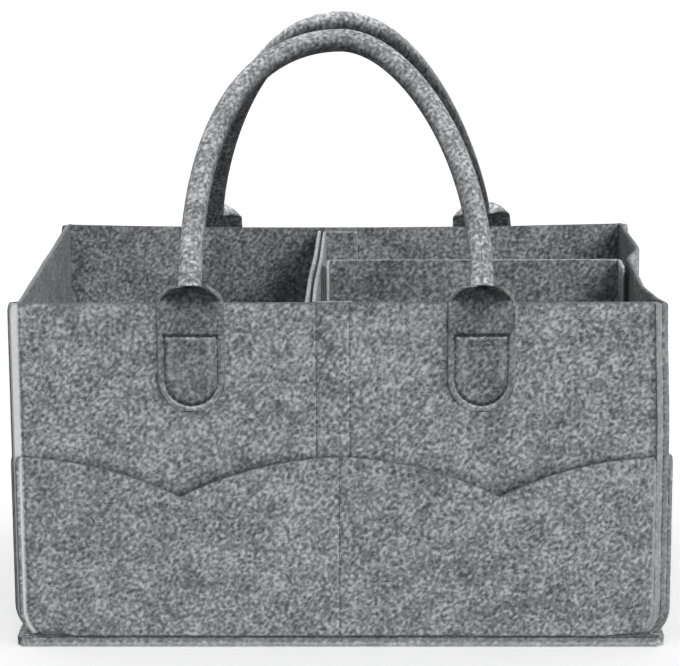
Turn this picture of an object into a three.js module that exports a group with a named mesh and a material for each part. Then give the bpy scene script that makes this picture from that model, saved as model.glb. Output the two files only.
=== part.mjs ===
// Felt diaper caddy: an open box of sewn grey felt with scalloped outside pockets,
// two rolled carrying handles and two lift-out dividers held by hook-and-loop tape.
// Millimetres. The origin is the middle of the underside, +X right, +Y to the back, +Z up.

import * as THREE from 'three';

// Body: outside faces of the four wall panels
const bodyWidth = 325;
const bodyDepth = 225;
const rimHeight = 180;
const panelFelt = 3;
const bottomFelt = 2.6;
const layerGap = 0.3;

// Corner seams: raw edges turned outward into a standing fin along each corner
const finStand = 2.75;
const finTopRound = 2.4;
const finTopDrop = 6;
const cornerTuck = 5;
const cornerTuckHeight = 20;
const cornerTuckSpread = 26;

// Bottom seam: the wall edges are pressed flat on the rim of the bottom panel
const flangeReach = 4.5;
const flangeFelt = 1.4;
const flangeCorner = 5;
const flangeFillet = 0.9;

// Felt that has relaxed: the right wall is drawn in by its divider, the back rim dips
const wallPull = 5;
const wallPush = 1.8;
const wallPullRamp = 45;
const wallPushBehind = 36;
const backRimDip = 2;

// Outside pockets
const pocketFelt = 2;
const pocketHeight = 100.5;
const pocketNotch = 19.5;
const longPocketGape = 6;
const sidePocketGape = 6;

// Handles: a felt strip sewn flat on the wall and rolled round a cord above the rim
const handleFelt = 2.4;
const tubeDiameter = 12;
const rollSlit = 0.8;
const tabWidth = 34;
const tabHeight = 39.5;
const tabStitchBelowRim = 16.7;
const rimBend = 8;
const rimClearance = 0.3;
const crownGap = 1.6;
const coreClearance = 0.5;
// The neck is where the strip rolls up. Its edges meet on the outer side (1) or the inner side (-1).
const frontHandle = {
  rise: 178,
  opens: 1,
  neckAboveRim: -2.5,
  neckLength: 16,
  left: { reach: 74.5, leg: 36, legPull: 115, crownPull: 32 },
  right: { reach: 72, leg: 30, legPull: 77, crownPull: 33 },
};
// The back handle is made facing forward and turned round, so its left is the viewer's right
const backHandle = {
  rise: 184,
  opens: -1,
  neckAboveRim: 1.5,
  neckLength: 22,
  left: { reach: 80, leg: 13, legPull: 34, crownPull: 49 },
  right: { reach: 76.5, leg: 16, legPull: 40, crownPull: 54 },
};

// Dividers and their hook-and-loop tapes
const dividerFelt = 2;
const crossBelowRim = 2;
const dividerFoot = 0.4;
const crossSheetsMeet = -13;
const longDividerFront = 1;
const tapeWidth = 19.4;
const tapeMargin = 0.3;
const tapeLength = 90;
const tapeBelowRim = 3;
const hookTape = 0.8;
const loopTape = 0.9;

const feltGrey = 0x74757a;
const feltDark = 0x66676c;
const tapeGrey = 0x56575b;
const coreWhite = 0xd9d6cf;

// How finely the round forms are stepped
const cornerSteps = 6;
const footSteps = 4;
const panelSteps = 4;
const scallopSteps = 4;
const tabSteps = 16;
const neckSteps = 10;
const tubeSteps = 24;
const stripSteps = 10;
const coreSteps = 5;
const leanHalvings = 40;
const flattestCurl = 1e-4;

const innerHalfWidth = bodyWidth / 2 - panelFelt;
const innerHalfDepth = bodyDepth / 2 - panelFelt;
const flangeFoot = bottomFelt + layerGap;
const flangeTop = flangeFoot + flangeFelt;
const wallFoot = flangeTop + flangeFillet;
const pocketInside = panelFelt + layerGap;
const pocketOutside = pocketInside + pocketFelt;
const dividerFlap = tapeWidth + 2 * tapeMargin;
const tapeTop = rimHeight - tapeBelowRim;
const tapeFoot = tapeTop - tapeLength;
const diagonal = Math.SQRT1_2;
const quarterTurn = Math.PI / 2;

function smooth(from, to, value) {
  return THREE.MathUtils.smoothstep((value - from) / (to - from), 0, 1);
}

function steps(from, to, count) {
  return Array.from({ length: count + 1 }, (_, i) => THREE.MathUtils.lerp(from, to, i / count));
}

// Even steps from each stop to the next, with each stop once
function betweenStops(stops, count) {
  const spans = stops.slice(1).map((stop, i) => steps(stops[i], stop, count).slice(1));
  return [stops[0], ...spans.flat()];
}

// A closed solid between two matching grids of points, one for each face of a sheet.
// Both faces are split along the same diagonals, so that layers lie parallel.
function sheetSolid(innerFace, outerFace) {
  const columns = innerFace[0].length;
  const rings = innerFace.map((row, i) => [...row, ...outerFace[i].toReversed()]);
  const around = 2 * columns;
  const points = rings.flat();
  const index = [];
  const quad = (a, b, c, d) => index.push(a, b, c, a, c, d);
  for (let below = 0; below < points.length - around; below += around) {
    const above = below + around;
    for (let i = 0; i < around; i++) {
      const next = (i + 1) % around;
      if (i < columns) quad(below + i, below + next, above + next, above + i);
      else quad(below + next, above + next, above + i, below + i);
    }
  }
  const last = points.length - around;
  for (let i = 0; i < columns - 1; i++) {
    const far = around - 1 - i;
    quad(i, far, far - 1, i + 1);
    quad(last + i, last + i + 1, last + far - 1, last + far);
  }
  const corner = new THREE.Vector3();
  let volume = 0;
  for (let i = 0; i < index.length; i += 3) {
    corner.crossVectors(points[index[i + 1]], points[index[i + 2]]);
    volume += points[index[i]].dot(corner);
  }
  const geometry = new THREE.BufferGeometry().setFromPoints(points);
  geometry.setIndex(volume > 0 ? index : index.reverse());
  geometry.computeVertexNormals();
  return geometry;
}

// Rows of the tucked-in corners, and the columns between which a wall turns into them
const footLevels = steps(wallFoot, cornerTuckHeight, footSteps);
const cornerStart = (wall) => wall.halfLength - cornerTuckSpread;
const cornerMiddle = (wall) => wall.halfLength - cornerTuckSpread / 2;

// Drops below a fin's top, closer together where the round of the fin is steeper
const topDrops = [finTopDrop, finTopDrop / 3, finTopDrop / 12, 0];

// Wall layers are drawn as the front wall: along X, facing -Y, and turned to their side.
// The seam plane of a corner runs diagonally out of the inner corner of the box.
function wallCorner(wall, offset) {
  const fromSeam = layerGap / 2 + offset;
  return wall.halfLength + offset - fromSeam / diagonal;
}

function finTip(wall, offset, reach) {
  const fromSeam = layerGap / 2 + offset;
  const along = wall.halfLength + (reach - fromSeam) * diagonal;
  const out = wall.halfDepth + (reach + fromSeam) * diagonal;
  return [along, -out];
}

// How far the fold of a layer lies out along the seam plane; the fin stands beyond the outermost
function foldReach(offset) {
  return offset / diagonal - offset - layerGap / 2;
}

function finReachAt(height, top) {
  const share = Math.max(0, height - top + finTopDrop) / finTopDrop;
  const round = Math.min(finTopRound, finStand - layerGap);
  const rounded = round * (1 - Math.sqrt(Math.max(0, 1 - share * share)));
  return foldReach(pocketOutside) + finStand - rounded;
}

// The lower corners of the box are drawn in where the fins run into the bottom seam
function tuckCorner(wall, x, y, height) {
  const depth = Math.max(0, cornerTuckHeight - height) / (cornerTuckHeight - wallFoot);
  const near = smooth(cornerStart(wall), wall.halfLength - panelFelt, Math.abs(x));
  const inset = cornerTuck * Math.min(1, depth * depth) * near;
  return new THREE.Vector3(x - Math.sign(x) * inset, y + inset, height);
}

// One row of a wall layer from fin tip to fin tip, at a distance outward from the inner box face
function wallRow(wall, offset, columns, heightAt, topAt, push) {
  const corner = wallCorner(wall, offset);
  const endHeight = heightAt(wall.halfLength);
  const [tipX, tipY] = finTip(wall, offset, finReachAt(endHeight, topAt(wall.halfLength)));
  const face = -(wall.halfDepth + offset);
  const row = [tuckCorner(wall, -tipX, tipY, endHeight), tuckCorner(wall, -corner, face, endHeight)];
  for (const x of columns) {
    const height = heightAt(x);
    row.push(tuckCorner(wall, x, face + push(x, height), height));
  }
  row.push(tuckCorner(wall, corner, face, endHeight), tuckCorner(wall, tipX, tipY, endHeight));
  return row;
}

// The pressed edge of a wall panel, spread outward on the rim of the bottom panel
function flangeRow(wall, columns, height) {
  const edge = wall.halfDepth + panelFelt + flangeReach;
  const endAlong = wall.halfLength + panelFelt + flangeReach - flangeCorner;
  const corner = wallCorner(wall, panelFelt);
  const along = [-endAlong, -corner, ...columns, corner, endAlong];
  return along.map((x) => new THREE.Vector3(x, -edge, height));
}

function flangeInnerRow(wall, columns, height) {
  const row = wallRow(wall, 0, columns, () => wallFoot, () => rimHeight, () => 0);
  const mitre = (panelFelt + flangeReach) / diagonal - flangeCorner * (1 / diagonal - 1) - layerGap;
  const [tipX, tipY] = finTip(wall, 0, mitre);
  row[0].set(-tipX, tipY, height);
  row[row.length - 1].set(tipX, tipY, height);
  row.forEach((point) => point.setZ(height));
  return row;
}

function wallPanel(wall, { columns, levels, push, dip }) {
  const topAt = (x) => rimHeight - dip * (1 - (x / wall.halfLength) ** 2);
  const lift = (x, level) => level + (topAt(x) - rimHeight) * smooth(rimHeight / 2, rimHeight, level);
  const heights = levels.map((level) => (x) => lift(x, level));
  const rows = (offset) => heights.map((heightAt) => wallRow(wall, offset, columns, heightAt, topAt, push));
  const inner = [flangeFoot, flangeTop].map((height) => flangeInnerRow(wall, columns, height));
  const outer = [flangeFoot, flangeTop].map((height) => flangeRow(wall, columns, height));
  return sheetSolid([...inner, ...rows(0)], [...outer, ...rows(panelFelt)]);
}

// A pocket is one sheet in front of a wall, sewn at its fins, its foot and its seams.
// Its mouth is cut in round scallops that rise to each seam and meet in a notch between.
function pocketSheet(wall, seams, gape) {
  const bay = (seams[seams.length - 1] - seams[0]) / (seams.length - 1);
  const scallop = ((bay / 2) ** 2 + pocketNotch ** 2) / (2 * pocketNotch);
  const topAt = (x) => {
    const fromSeam = Math.min(...seams.map((seam) => Math.abs(x - seam)));
    return pocketHeight - scallop + Math.sqrt(scallop ** 2 - Math.min(fromSeam, bay / 2) ** 2);
  };
  const foot = wallFoot + layerGap;
  const fullAt = pocketHeight - pocketNotch;
  const push = (x, height) => {
    const swell = Math.abs(Math.sin((Math.PI * (x - seams[0])) / bay));
    const rise = Math.sin(quarterTurn * THREE.MathUtils.clamp((height - foot) / (fullAt - foot), 0, 1));
    return -gape * swell * rise;
  };
  const marks = [...seams.slice(1), ...seams.slice(1).map((seam) => seam - bay / 2)];
  const stops = [-cornerStart(wall), ...marks.filter((mark) => mark < cornerStart(wall)), cornerStart(wall)];
  stops.sort((a, b) => a - b);
  const columns = [-cornerMiddle(wall), ...betweenStops(stops, scallopSteps), cornerMiddle(wall)];
  const levels = [foot, ...footLevels.slice(1)];
  const shares = steps(0, 1, 3).slice(1, -1);
  const heights = [
    ...levels.map((level) => () => level),
    ...shares.map((share) => (x) => THREE.MathUtils.lerp(cornerTuckHeight, topAt(x) - finTopDrop, share)),
    ...topDrops.map((drop) => (x) => topAt(x) - drop),
  ];
  const rows = (offset) => heights.map((heightAt) => wallRow(wall, offset, columns, heightAt, topAt, push));
  return sheetSolid(rows(pocketInside), rows(pocketOutside));
}

function roundedRectangle(halfLength, halfDepth, radius) {
  const shape = new THREE.Shape();
  shape.absarc(halfLength - radius, halfDepth - radius, radius, 0, quarterTurn);
  shape.absarc(radius - halfLength, halfDepth - radius, radius, quarterTurn, 2 * quarterTurn);
  shape.absarc(radius - halfLength, radius - halfDepth, radius, 2 * quarterTurn, 3 * quarterTurn);
  shape.absarc(halfLength - radius, radius - halfDepth, radius, 3 * quarterTurn, 4 * quarterTurn);
  return shape;
}

function extruded(shape, depth, curveSegments) {
  return new THREE.ExtrudeGeometry(shape, { depth, curveSegments, bevelEnabled: false });
}

// The sewn end of a handle strip: flat on the wall, round at the bottom, cut at the stitch line
function handleTab() {
  const radius = tabWidth / 2;
  const shape = new THREE.Shape();
  shape.moveTo(radius, 0);
  shape.lineTo(-radius, 0);
  shape.absarc(0, radius - tabHeight, radius, 2 * quarterTurn, 4 * quarterTurn);
  const geometry = extruded(shape, handleFelt, tabSteps);
  geometry.rotateX(quarterTurn);
  return geometry;
}

const tubeRadius = (tubeDiameter - handleFelt) / 2;
const tabMiddle = -(bodyDepth / 2 + layerGap + handleFelt / 2);
const tabTop = rimHeight - tabStitchBelowRim;
const handleFoot = tabTop + layerGap;
const bendStart = rimHeight + rimClearance - handleFoot;

// The strip lies on a sheet that stands on the wall, bends over the rim and leans inward.
// The result is the sheet's point at a distance up from the handle's foot, with its directions.
function leaningSheet(lean, up) {
  const angle = THREE.MathUtils.clamp((up - bendStart) / rimBend, 0, lean);
  const below = Math.min(up, bendStart);
  const beyond = Math.max(0, up - bendStart - rimBend * lean);
  const y = tabMiddle + rimBend * (1 - Math.cos(angle)) + beyond * Math.sin(lean);
  const z = handleFoot + below + rimBend * Math.sin(angle) + beyond * Math.cos(lean);
  return {
    point: new THREE.Vector3(0, y, z),
    upward: new THREE.Vector3(0, Math.sin(angle), Math.cos(angle)),
    outward: new THREE.Vector3(0, -Math.cos(angle), Math.sin(angle)),
  };
}

// The lean at which the crown of the handle comes to rest beside the other handle's
function restingLean({ rise, opens }) {
  const target = -(tubeDiameter + crownGap) / 2;
  let low = 0;
  let high = quarterTurn;
  for (let i = 0; i < leanHalvings; i++) {
    const lean = (low + high) / 2;
    const crown = leaningSheet(lean, rise);
    const axisY = crown.point.y + crown.outward.y * tubeRadius * opens;
    if (axisY < target) low = lean;
    else high = lean;
  }
  return low;
}

// The middle line of the strip on its sheet: up one leg, over the crown and down the other
function handleLine({ rise, left, right }) {
  const crown = new THREE.Vector2(0, rise);
  const legTop = ({ reach, leg }, side) => new THREE.Vector2(side * reach, leg);
  const pulled = ({ reach, leg, legPull }, side) => new THREE.Vector2(side * reach, leg + legPull);
  const overCrown = ({ crownPull }, side) => new THREE.Vector2(side * crownPull, rise);
  const line = new THREE.CurvePath();
  line.add(new THREE.LineCurve(new THREE.Vector2(-left.reach, 0), legTop(left, -1)));
  line.add(new THREE.CubicBezierCurve(legTop(left, -1), pulled(left, -1), overCrown(left, -1), crown));
  line.add(new THREE.CubicBezierCurve(crown, overCrown(right, 1), pulled(right, 1), legTop(right, 1)));
  line.add(new THREE.LineCurve(legTop(right, 1), new THREE.Vector2(right.reach, 0)));
  return line;
}

// Where the strip's middle line runs in space at a share of its length, with its directions
function handleStation(line, lean, share) {
  const flat = line.getPointAt(share);
  const heading = line.getTangentAt(share);
  const sheet = leaningSheet(lean, flat.y);
  const across = sheet.upward.clone().multiplyScalar(-heading.x).setX(heading.y);
  return { point: sheet.point.setX(flat.x), across, outward: sheet.outward };
}

// Where the strip's neck starts and ends, measured along it from the handle's foot
function neckOf({ neckAboveRim, neckLength }) {
  const neckStart = bendStart + neckAboveRim;
  return { neckStart, neckEnd: neckStart + neckLength };
}

// The strip is flat at its ends and rolls up between neck and neck, so that its edges
// meet on one side of the tube with a fine slit between them
function handleStrip(shape) {
  const { opens } = shape;
  const { neckStart, neckEnd } = neckOf(shape);
  const lean = restingLean(shape);
  const line = handleLine(shape);
  const length = line.getLength();
  const start = steps(0, neckEnd, neckSteps);
  const stations = [...start, ...steps(neckEnd, length - neckEnd, tubeSteps).slice(1, -1)];
  stations.push(...start.map((distance) => length - distance).reverse());
  const rolledWidth = 2 * Math.PI * tubeRadius - rollSlit;
  const faces = [-handleFelt / 2, handleFelt / 2].map((depth) => stations.map((distance) => {
    const { point, across, outward } = handleStation(line, lean, distance / length);
    const rolled = smooth(neckStart, neckEnd, Math.min(distance, length - distance));
    const curl = Math.max(rolled, flattestCurl) / tubeRadius;
    const width = THREE.MathUtils.lerp(tabWidth, rolledWidth, rolled);
    return steps(-width / 2, width / 2, stripSteps).map((place) => {
      const turn = place * curl;
      const radius = 1 / curl - opens * depth;
      const sideways = Math.sin(turn) * radius;
      const raised = opens * (1 / curl - Math.cos(turn) * radius);
      return point.clone().addScaledVector(across, sideways).addScaledVector(outward, raised);
    });
  }));
  return sheetSolid(faces[0], faces[1]);
}

// The cord that the strip is rolled round, from neck to neck
function handleCore(shape) {
  const lean = restingLean(shape);
  const line = handleLine(shape);
  const margin = neckOf(shape).neckEnd / line.getLength();
  const axis = steps(margin, 1 - margin, tubeSteps).map((share) => {
    const { point, outward } = handleStation(line, lean, share);
    return point.addScaledVector(outward, tubeRadius * shape.opens);
  });
  const coreRadius = tubeRadius - handleFelt / 2 - coreClearance;
  const section = new THREE.Shape().absarc(0, 0, coreRadius, 0, 4 * quarterTurn);
  return new THREE.ExtrudeGeometry(section, {
    steps: tubeSteps,
    curveSegments: coreSteps,
    bevelEnabled: false,
    extrudePath: new THREE.CatmullRomCurve3(axis),
  });
}

// A standing sheet with both ends folded to the same side, from its plan corners
function foldedDivider(corners, height) {
  const shape = new THREE.Shape(corners.map(([x, y]) => new THREE.Vector2(x, y)));
  return extruded(shape, height, 1);
}

function feltMaterial(color) {
  return new THREE.MeshStandardMaterial({ color, roughness: 0.96, metalness: 0 });
}

function tapeMaterial() {
  return new THREE.MeshStandardMaterial({ color: tapeGrey, roughness: 0.85, metalness: 0 });
}

function coreMaterial() {
  return new THREE.MeshStandardMaterial({ color: coreWhite, roughness: 0.9, metalness: 0 });
}

function named(name, geometry, material) {
  const mesh = new THREE.Mesh(geometry, material);
  mesh.name = name;
  return mesh;
}

const caddy = new THREE.Group();

// Bottom panel with the rim that the wall edges are sewn to
const bottomHalfWidth = bodyWidth / 2 + flangeReach;
const bottomHalfDepth = bodyDepth / 2 + flangeReach;
const bottomOutline = roundedRectangle(bottomHalfWidth, bottomHalfDepth, flangeCorner);
caddy.add(named('bottom_panel', extruded(bottomOutline, bottomFelt, cornerSteps), feltMaterial(feltGrey)));

// Four walls with their pockets
const longWall = { halfLength: innerHalfWidth, halfDepth: innerHalfDepth };
const shortWall = { halfLength: innerHalfDepth, halfDepth: innerHalfWidth };
const longFlapEnd = longDividerFront - dividerFlap;

function evenColumns(wall) {
  const start = cornerStart(wall);
  return [-cornerMiddle(wall), ...steps(-start, start, panelSteps), cornerMiddle(wall)];
}

// The right wall is drawn in at the divider's tape and swells out again behind it
function rightWallPush(along, height) {
  const drawnIn = wallPull * smooth(-innerHalfDepth, wallPullRamp - innerHalfDepth, along);
  const swellAt = longDividerFront + wallPushBehind;
  const push = THREE.MathUtils.lerp(drawnIn, -wallPush, smooth(longDividerFront, swellAt, along));
  const fading = 1 - smooth(swellAt, innerHalfDepth, along);
  return push * fading * smooth(cornerTuckHeight, tapeFoot, height);
}

const rightColumns = [
  -cornerMiddle(shortWall),
  ...steps(-cornerStart(shortWall), longFlapEnd, panelSteps),
  ...steps(longDividerFront, cornerStart(shortWall), panelSteps + 2),
  cornerMiddle(shortWall),
];
const topLevels = topDrops.map((drop) => rimHeight - drop);
const middleLevels = steps(cornerTuckHeight, rimHeight - finTopDrop, 3).slice(1, -1);
const plainLevels = [...footLevels, ...middleLevels, ...topLevels];
const pulledLevels = [...footLevels, ...steps(cornerTuckHeight, tapeFoot, footSteps).slice(1), ...topLevels];
const straight = () => 0;

const sides = [
  { side: 'front', wall: longWall },
  { side: 'right_side', wall: shortWall, columns: rightColumns, levels: pulledLevels, push: rightWallPush },
  { side: 'back', wall: longWall, dip: backRimDip },
  { side: 'left_side', wall: shortWall },
];
sides.forEach(({ side, wall, columns, levels, push, dip }, turn) => {
  const isLong = wall === longWall;
  const endSeam = wall.halfLength + panelFelt;
  const seams = isLong ? [-endSeam, 0, endSeam] : [-endSeam, endSeam];
  const shape = {
    columns: columns ?? evenColumns(wall),
    levels: levels ?? plainLevels,
    push: push ?? straight,
    dip: dip ?? 0,
  };
  const pocket = pocketSheet(wall, seams, isLong ? longPocketGape : sidePocketGape);
  const group = new THREE.Group();
  group.rotation.z = turn * quarterTurn;
  group.add(named(`${side}_panel`, wallPanel(wall, shape), feltMaterial(feltGrey)));
  group.add(named(`${side}_pocket`, pocket, feltMaterial(feltGrey)));
  caddy.add(group);
});

// Handles with their sewn tabs
for (const [side, turn, shape] of [['front', 0, frontHandle], ['back', 2, backHandle]]) {
  const group = new THREE.Group();
  group.rotation.z = turn * quarterTurn;
  const ends = turn === 0 ? ['left', 'right'] : ['right', 'left'];
  [-shape.left.reach, shape.right.reach].forEach((x, i) => {
    const tab = named(`${side}_handle_tab_${ends[i]}`, handleTab(), feltMaterial(feltGrey));
    tab.position.set(x, -(bodyDepth / 2 + layerGap), tabTop);
    group.add(tab);
  });
  group.add(named(`${side}_handle`, handleStrip(shape), feltMaterial(feltGrey)));
  group.add(named(`${side}_handle_core`, handleCore(shape), coreMaterial()));
  caddy.add(group);
}

// Cross divider: two sheets back to back, the right one with end flaps on the long walls
const dividerBottom = bottomFelt + dividerFoot;
const crossHeight = rimHeight - crossBelowRim - dividerBottom;
const tapeStack = layerGap + loopTape + layerGap + hookTape + layerGap;
const crossFlapY = innerHalfDepth - tapeStack;
const crossRightBack = crossSheetsMeet + layerGap / 2;
const crossRightFace = crossRightBack + dividerFelt;
const crossFlapEnd = crossRightBack + dividerFlap;

const leftSheet = new THREE.BoxGeometry(dividerFelt, 2 * (innerHalfDepth - layerGap), crossHeight);
const crossLeftSheet = named('cross_divider_left_sheet', leftSheet, feltMaterial(feltDark));
crossLeftSheet.position.x = crossSheetsMeet - (layerGap + dividerFelt) / 2;
crossLeftSheet.position.z = dividerBottom + crossHeight / 2;
caddy.add(crossLeftSheet);

const crossRightSheet = named('cross_divider_right_sheet', foldedDivider([
  [crossRightBack, -crossFlapY],
  [crossFlapEnd, -crossFlapY],
  [crossFlapEnd, dividerFelt - crossFlapY],
  [crossRightFace, dividerFelt - crossFlapY],
  [crossRightFace, crossFlapY - dividerFelt],
  [crossFlapEnd, crossFlapY - dividerFelt],
  [crossFlapEnd, crossFlapY],
  [crossRightBack, crossFlapY],
], crossHeight), feltMaterial(feltDark));
crossRightSheet.position.z = dividerBottom;
caddy.add(crossRightSheet);

// Long divider: one sheet from the cross divider to the right wall, both ends folded forward
const rightWallFace = innerHalfWidth - wallPull;
const longLeft = crossRightFace + tapeStack;
const longRight = rightWallFace - tapeStack;
const longBack = longDividerFront + dividerFelt;
const longDivider = named('long_divider', foldedDivider([
  [longLeft, longFlapEnd],
  [longLeft + dividerFelt, longFlapEnd],
  [longLeft + dividerFelt, longDividerFront],
  [longRight - dividerFelt, longDividerFront],
  [longRight - dividerFelt, longFlapEnd],
  [longRight, longFlapEnd],
  [longRight, longBack],
  [longLeft, longBack],
], rimHeight - dividerBottom), feltMaterial(feltDark));
longDivider.position.z = dividerBottom;
caddy.add(longDivider);

// Hook-and-loop tapes: a loop strip sewn on the carrying face, a hook strip on the flap against it.
// A pair is drawn on a face that looks along +Y, and turned to its own face.
function addTapePair(loopName, hookName, x, y, turn) {
  const pair = new THREE.Group();
  pair.position.set(x, y, tapeTop - tapeLength / 2);
  pair.rotation.z = turn * quarterTurn;
  const loop = named(loopName, new THREE.BoxGeometry(tapeWidth, loopTape, tapeLength), tapeMaterial());
  loop.position.y = layerGap + loopTape / 2;
  const hook = named(hookName, new THREE.BoxGeometry(tapeWidth, hookTape, tapeLength), tapeMaterial());
  hook.position.y = layerGap + loopTape + layerGap + hookTape / 2;
  pair.add(loop, hook);
  caddy.add(pair);
}

const crossTapeX = crossRightBack + dividerFlap / 2;
const longTapeY = longDividerFront - dividerFlap / 2;
addTapePair('front_loop_strip', 'cross_divider_front_hook_strip', crossTapeX, -innerHalfDepth, 0);
addTapePair('back_loop_strip', 'cross_divider_back_hook_strip', crossTapeX, innerHalfDepth, 2);
addTapePair('right_loop_strip', 'long_divider_right_hook_strip', rightWallFace, longTapeY, 1);
addTapePair('cross_divider_loop_strip', 'long_divider_left_hook_strip', crossRightFace, longTapeY, 3);

export default caddy;
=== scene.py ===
# %% [markdown]
# # A felt caddy, dressed in Blender
# The caddy is an open box sewn from grey melange felt, with scalloped pockets outside, two rolled
# handles and two dividers that lift out. Its sizes and joints are settled in a CAD model, which is
# loaded here as a fixed frame. Every piece of felt is then made again as a finer sheet in the place
# of its plain solid, because a soft piece shows round cut edges, sewn grooves and a fibrous face.

# %% Load the frame
import math
from collections import namedtuple

import bmesh
import bpy
import numpy as np
from mathutils import Matrix, Vector


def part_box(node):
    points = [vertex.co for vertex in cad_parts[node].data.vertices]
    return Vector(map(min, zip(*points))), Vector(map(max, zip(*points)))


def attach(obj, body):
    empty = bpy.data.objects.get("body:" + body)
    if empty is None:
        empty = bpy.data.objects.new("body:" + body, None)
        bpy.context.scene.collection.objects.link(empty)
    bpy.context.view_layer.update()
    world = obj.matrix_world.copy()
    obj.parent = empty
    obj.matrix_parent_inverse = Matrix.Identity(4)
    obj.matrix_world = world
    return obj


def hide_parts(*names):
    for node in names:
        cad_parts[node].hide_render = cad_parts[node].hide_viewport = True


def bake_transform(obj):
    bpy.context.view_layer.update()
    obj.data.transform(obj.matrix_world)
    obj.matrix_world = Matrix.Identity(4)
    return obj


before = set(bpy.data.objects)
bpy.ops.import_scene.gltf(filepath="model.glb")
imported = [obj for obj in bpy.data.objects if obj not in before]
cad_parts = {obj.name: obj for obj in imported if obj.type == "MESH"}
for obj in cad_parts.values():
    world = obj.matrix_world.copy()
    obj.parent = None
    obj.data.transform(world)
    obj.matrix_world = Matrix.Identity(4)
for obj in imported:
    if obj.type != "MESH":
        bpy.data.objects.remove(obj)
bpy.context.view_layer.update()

MM = 0.001

# %% [markdown]
# ## Measures
# The body's sizes are read from the frame, so that the felt lands where the solids are. The felt's
# own thicknesses, folds and seams are the few sizes that a box can't give, and are written here.

# %% Measures of the body
_, bottom_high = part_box("bottom_panel")
rim_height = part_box("front_panel")[1].z
bottom_felt = bottom_high.z
layer_gap = 0.3 * MM
panel_felt = 3 * MM
pocket_felt = 2 * MM
flange_reach = 4.5 * MM
flange_felt = 1.4 * MM
flange_corner = 5 * MM
inner_half_width = bottom_high.x - flange_reach - panel_felt
inner_half_depth = bottom_high.y - flange_reach - panel_felt
flange_foot = bottom_felt + layer_gap
flange_top = flange_foot + flange_felt
wall_foot = flange_top + 0.9 * MM
print("inside in mm", 2 * inner_half_width / MM, 2 * inner_half_depth / MM, "rim", rim_height / MM)

# %% [markdown]
# ## Camera
# The photograph was taken with a long lens, a little above the rim and almost straight on. Solving
# its perspective for the box's corners gave the place, the turn and the focal length below. They
# are turned into a camera matrix, whose columns are the view's right, up and backward directions.

# %% Camera
photo_width = 680
focal_length_pixels = 2745
sensor_width_mm = 36
camera_place = Vector((22.4, -1462.7, 463.9)) * MM
camera_pitch, camera_yaw, camera_roll = (math.radians(angle) for angle in (12.5, -0.92, -0.29))

forward = Vector((
    math.sin(camera_yaw) * math.cos(camera_pitch),
    math.cos(camera_yaw) * math.cos(camera_pitch),
    -math.sin(camera_pitch),
))
level_right = forward.cross(Vector((0, 0, 1))).normalized()
level_up = level_right.cross(forward)
view_right = math.cos(camera_roll) * level_right + math.sin(camera_roll) * level_up
view_up = math.cos(camera_roll) * level_up - math.sin(camera_roll) * level_right

camera_data = bpy.data.cameras.new("camera")
camera_data.sensor_width = sensor_width_mm
camera_data.lens = focal_length_pixels / photo_width * sensor_width_mm
camera = bpy.data.objects.new("camera", camera_data)
camera.matrix_world = Matrix((view_right, view_up, -forward)).transposed().to_4x4()
camera.matrix_world.translation = camera_place
bpy.context.scene.collection.objects.link(camera)
bpy.context.scene.camera = camera
bpy.context.scene.view_settings.view_transform = "Standard"
print("lens in mm", round(camera_data.lens, 1))

# %% [markdown]
# ## Writing node trees as Python
# Materials and Geometry Nodes are both node trees. `Graph` adds a node, sets it up and wires its
# sockets in one call. `Number` wraps a socket that carries a number, and overloads the operators,
# so that `1 - mask * 0.5` adds the Math nodes by itself.

# %% Node helpers
class Graph:
    """A node tree under construction."""

    def __init__(self, tree):
        self.tree = tree
        tree.nodes.clear()

    def node(self, kind, settings=None, inputs=None):
        made = self.tree.nodes.new(kind)
        for name, value in (settings or {}).items():
            setattr(made, name, value)
        for key, value in (inputs or {}).items():
            self.feed(self.socket(made, key), value)
        return made

    def socket(self, node, key):
        if isinstance(key, int):
            return node.inputs[key]
        return next(s for s in node.inputs if key in (s.identifier, s.name) and s.enabled)

    def feed(self, socket, value):
        if isinstance(value, Number):
            value = value.socket
        if isinstance(value, bpy.types.NodeSocket):
            self.tree.links.new(value, socket)
        else:
            socket.default_value = value

    def number(self, kind, output, settings=None, inputs=None):
        return Number(self, self.node(kind, settings, inputs).outputs[output])

    def blended(self, share, first, second):
        """A colour between two colours."""
        inputs = {"Factor_Float": share, "A_Color": first, "B_Color": second}
        mix = self.node("ShaderNodeMix", {"data_type": "RGBA"}, inputs)
        return next(s for s in mix.outputs if s.identifier == "Result_Color")

    def surface(self, shader):
        """Ends a material's tree in its shader."""
        self.node("ShaderNodeOutputMaterial", None, {"Surface": shader.outputs[0]})


class Number:
    """A socket that carries a number, with arithmetic."""

    def __init__(self, graph, socket):
        self.graph = graph
        self.socket = socket

    def math(self, operation, *values):
        inputs = dict(enumerate(values))
        return self.graph.number("ShaderNodeMath", 0, {"operation": operation}, inputs)

    def __add__(self, other):
        return self.math("ADD", self, other)

    def __sub__(self, other):
        return self.math("SUBTRACT", self, other)

    def __rsub__(self, other):
        return self.math("SUBTRACT", other, self)

    def __mul__(self, other):
        return self.math("MULTIPLY", self, other)

    __radd__ = __add__
    __rmul__ = __mul__

    def highest(self, other):
        return self.math("MAXIMUM", self, other)

    def lowest(self, other):
        return self.math("MINIMUM", self, other)

    def between(self, start, end):
        """0 at start, 1 at end, with a smooth step between."""
        settings = {"interpolation_type": "SMOOTHSTEP"}
        inputs = {"Value": self, "From Min": start, "From Max": end}
        return self.graph.number("ShaderNodeMapRange", "Result", settings, inputs)


def new_finish(name):
    """A new material, and the graph of its nodes."""
    material = bpy.data.materials.new(name)
    material.use_nodes = True
    return material, Graph(material.node_tree)


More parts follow.
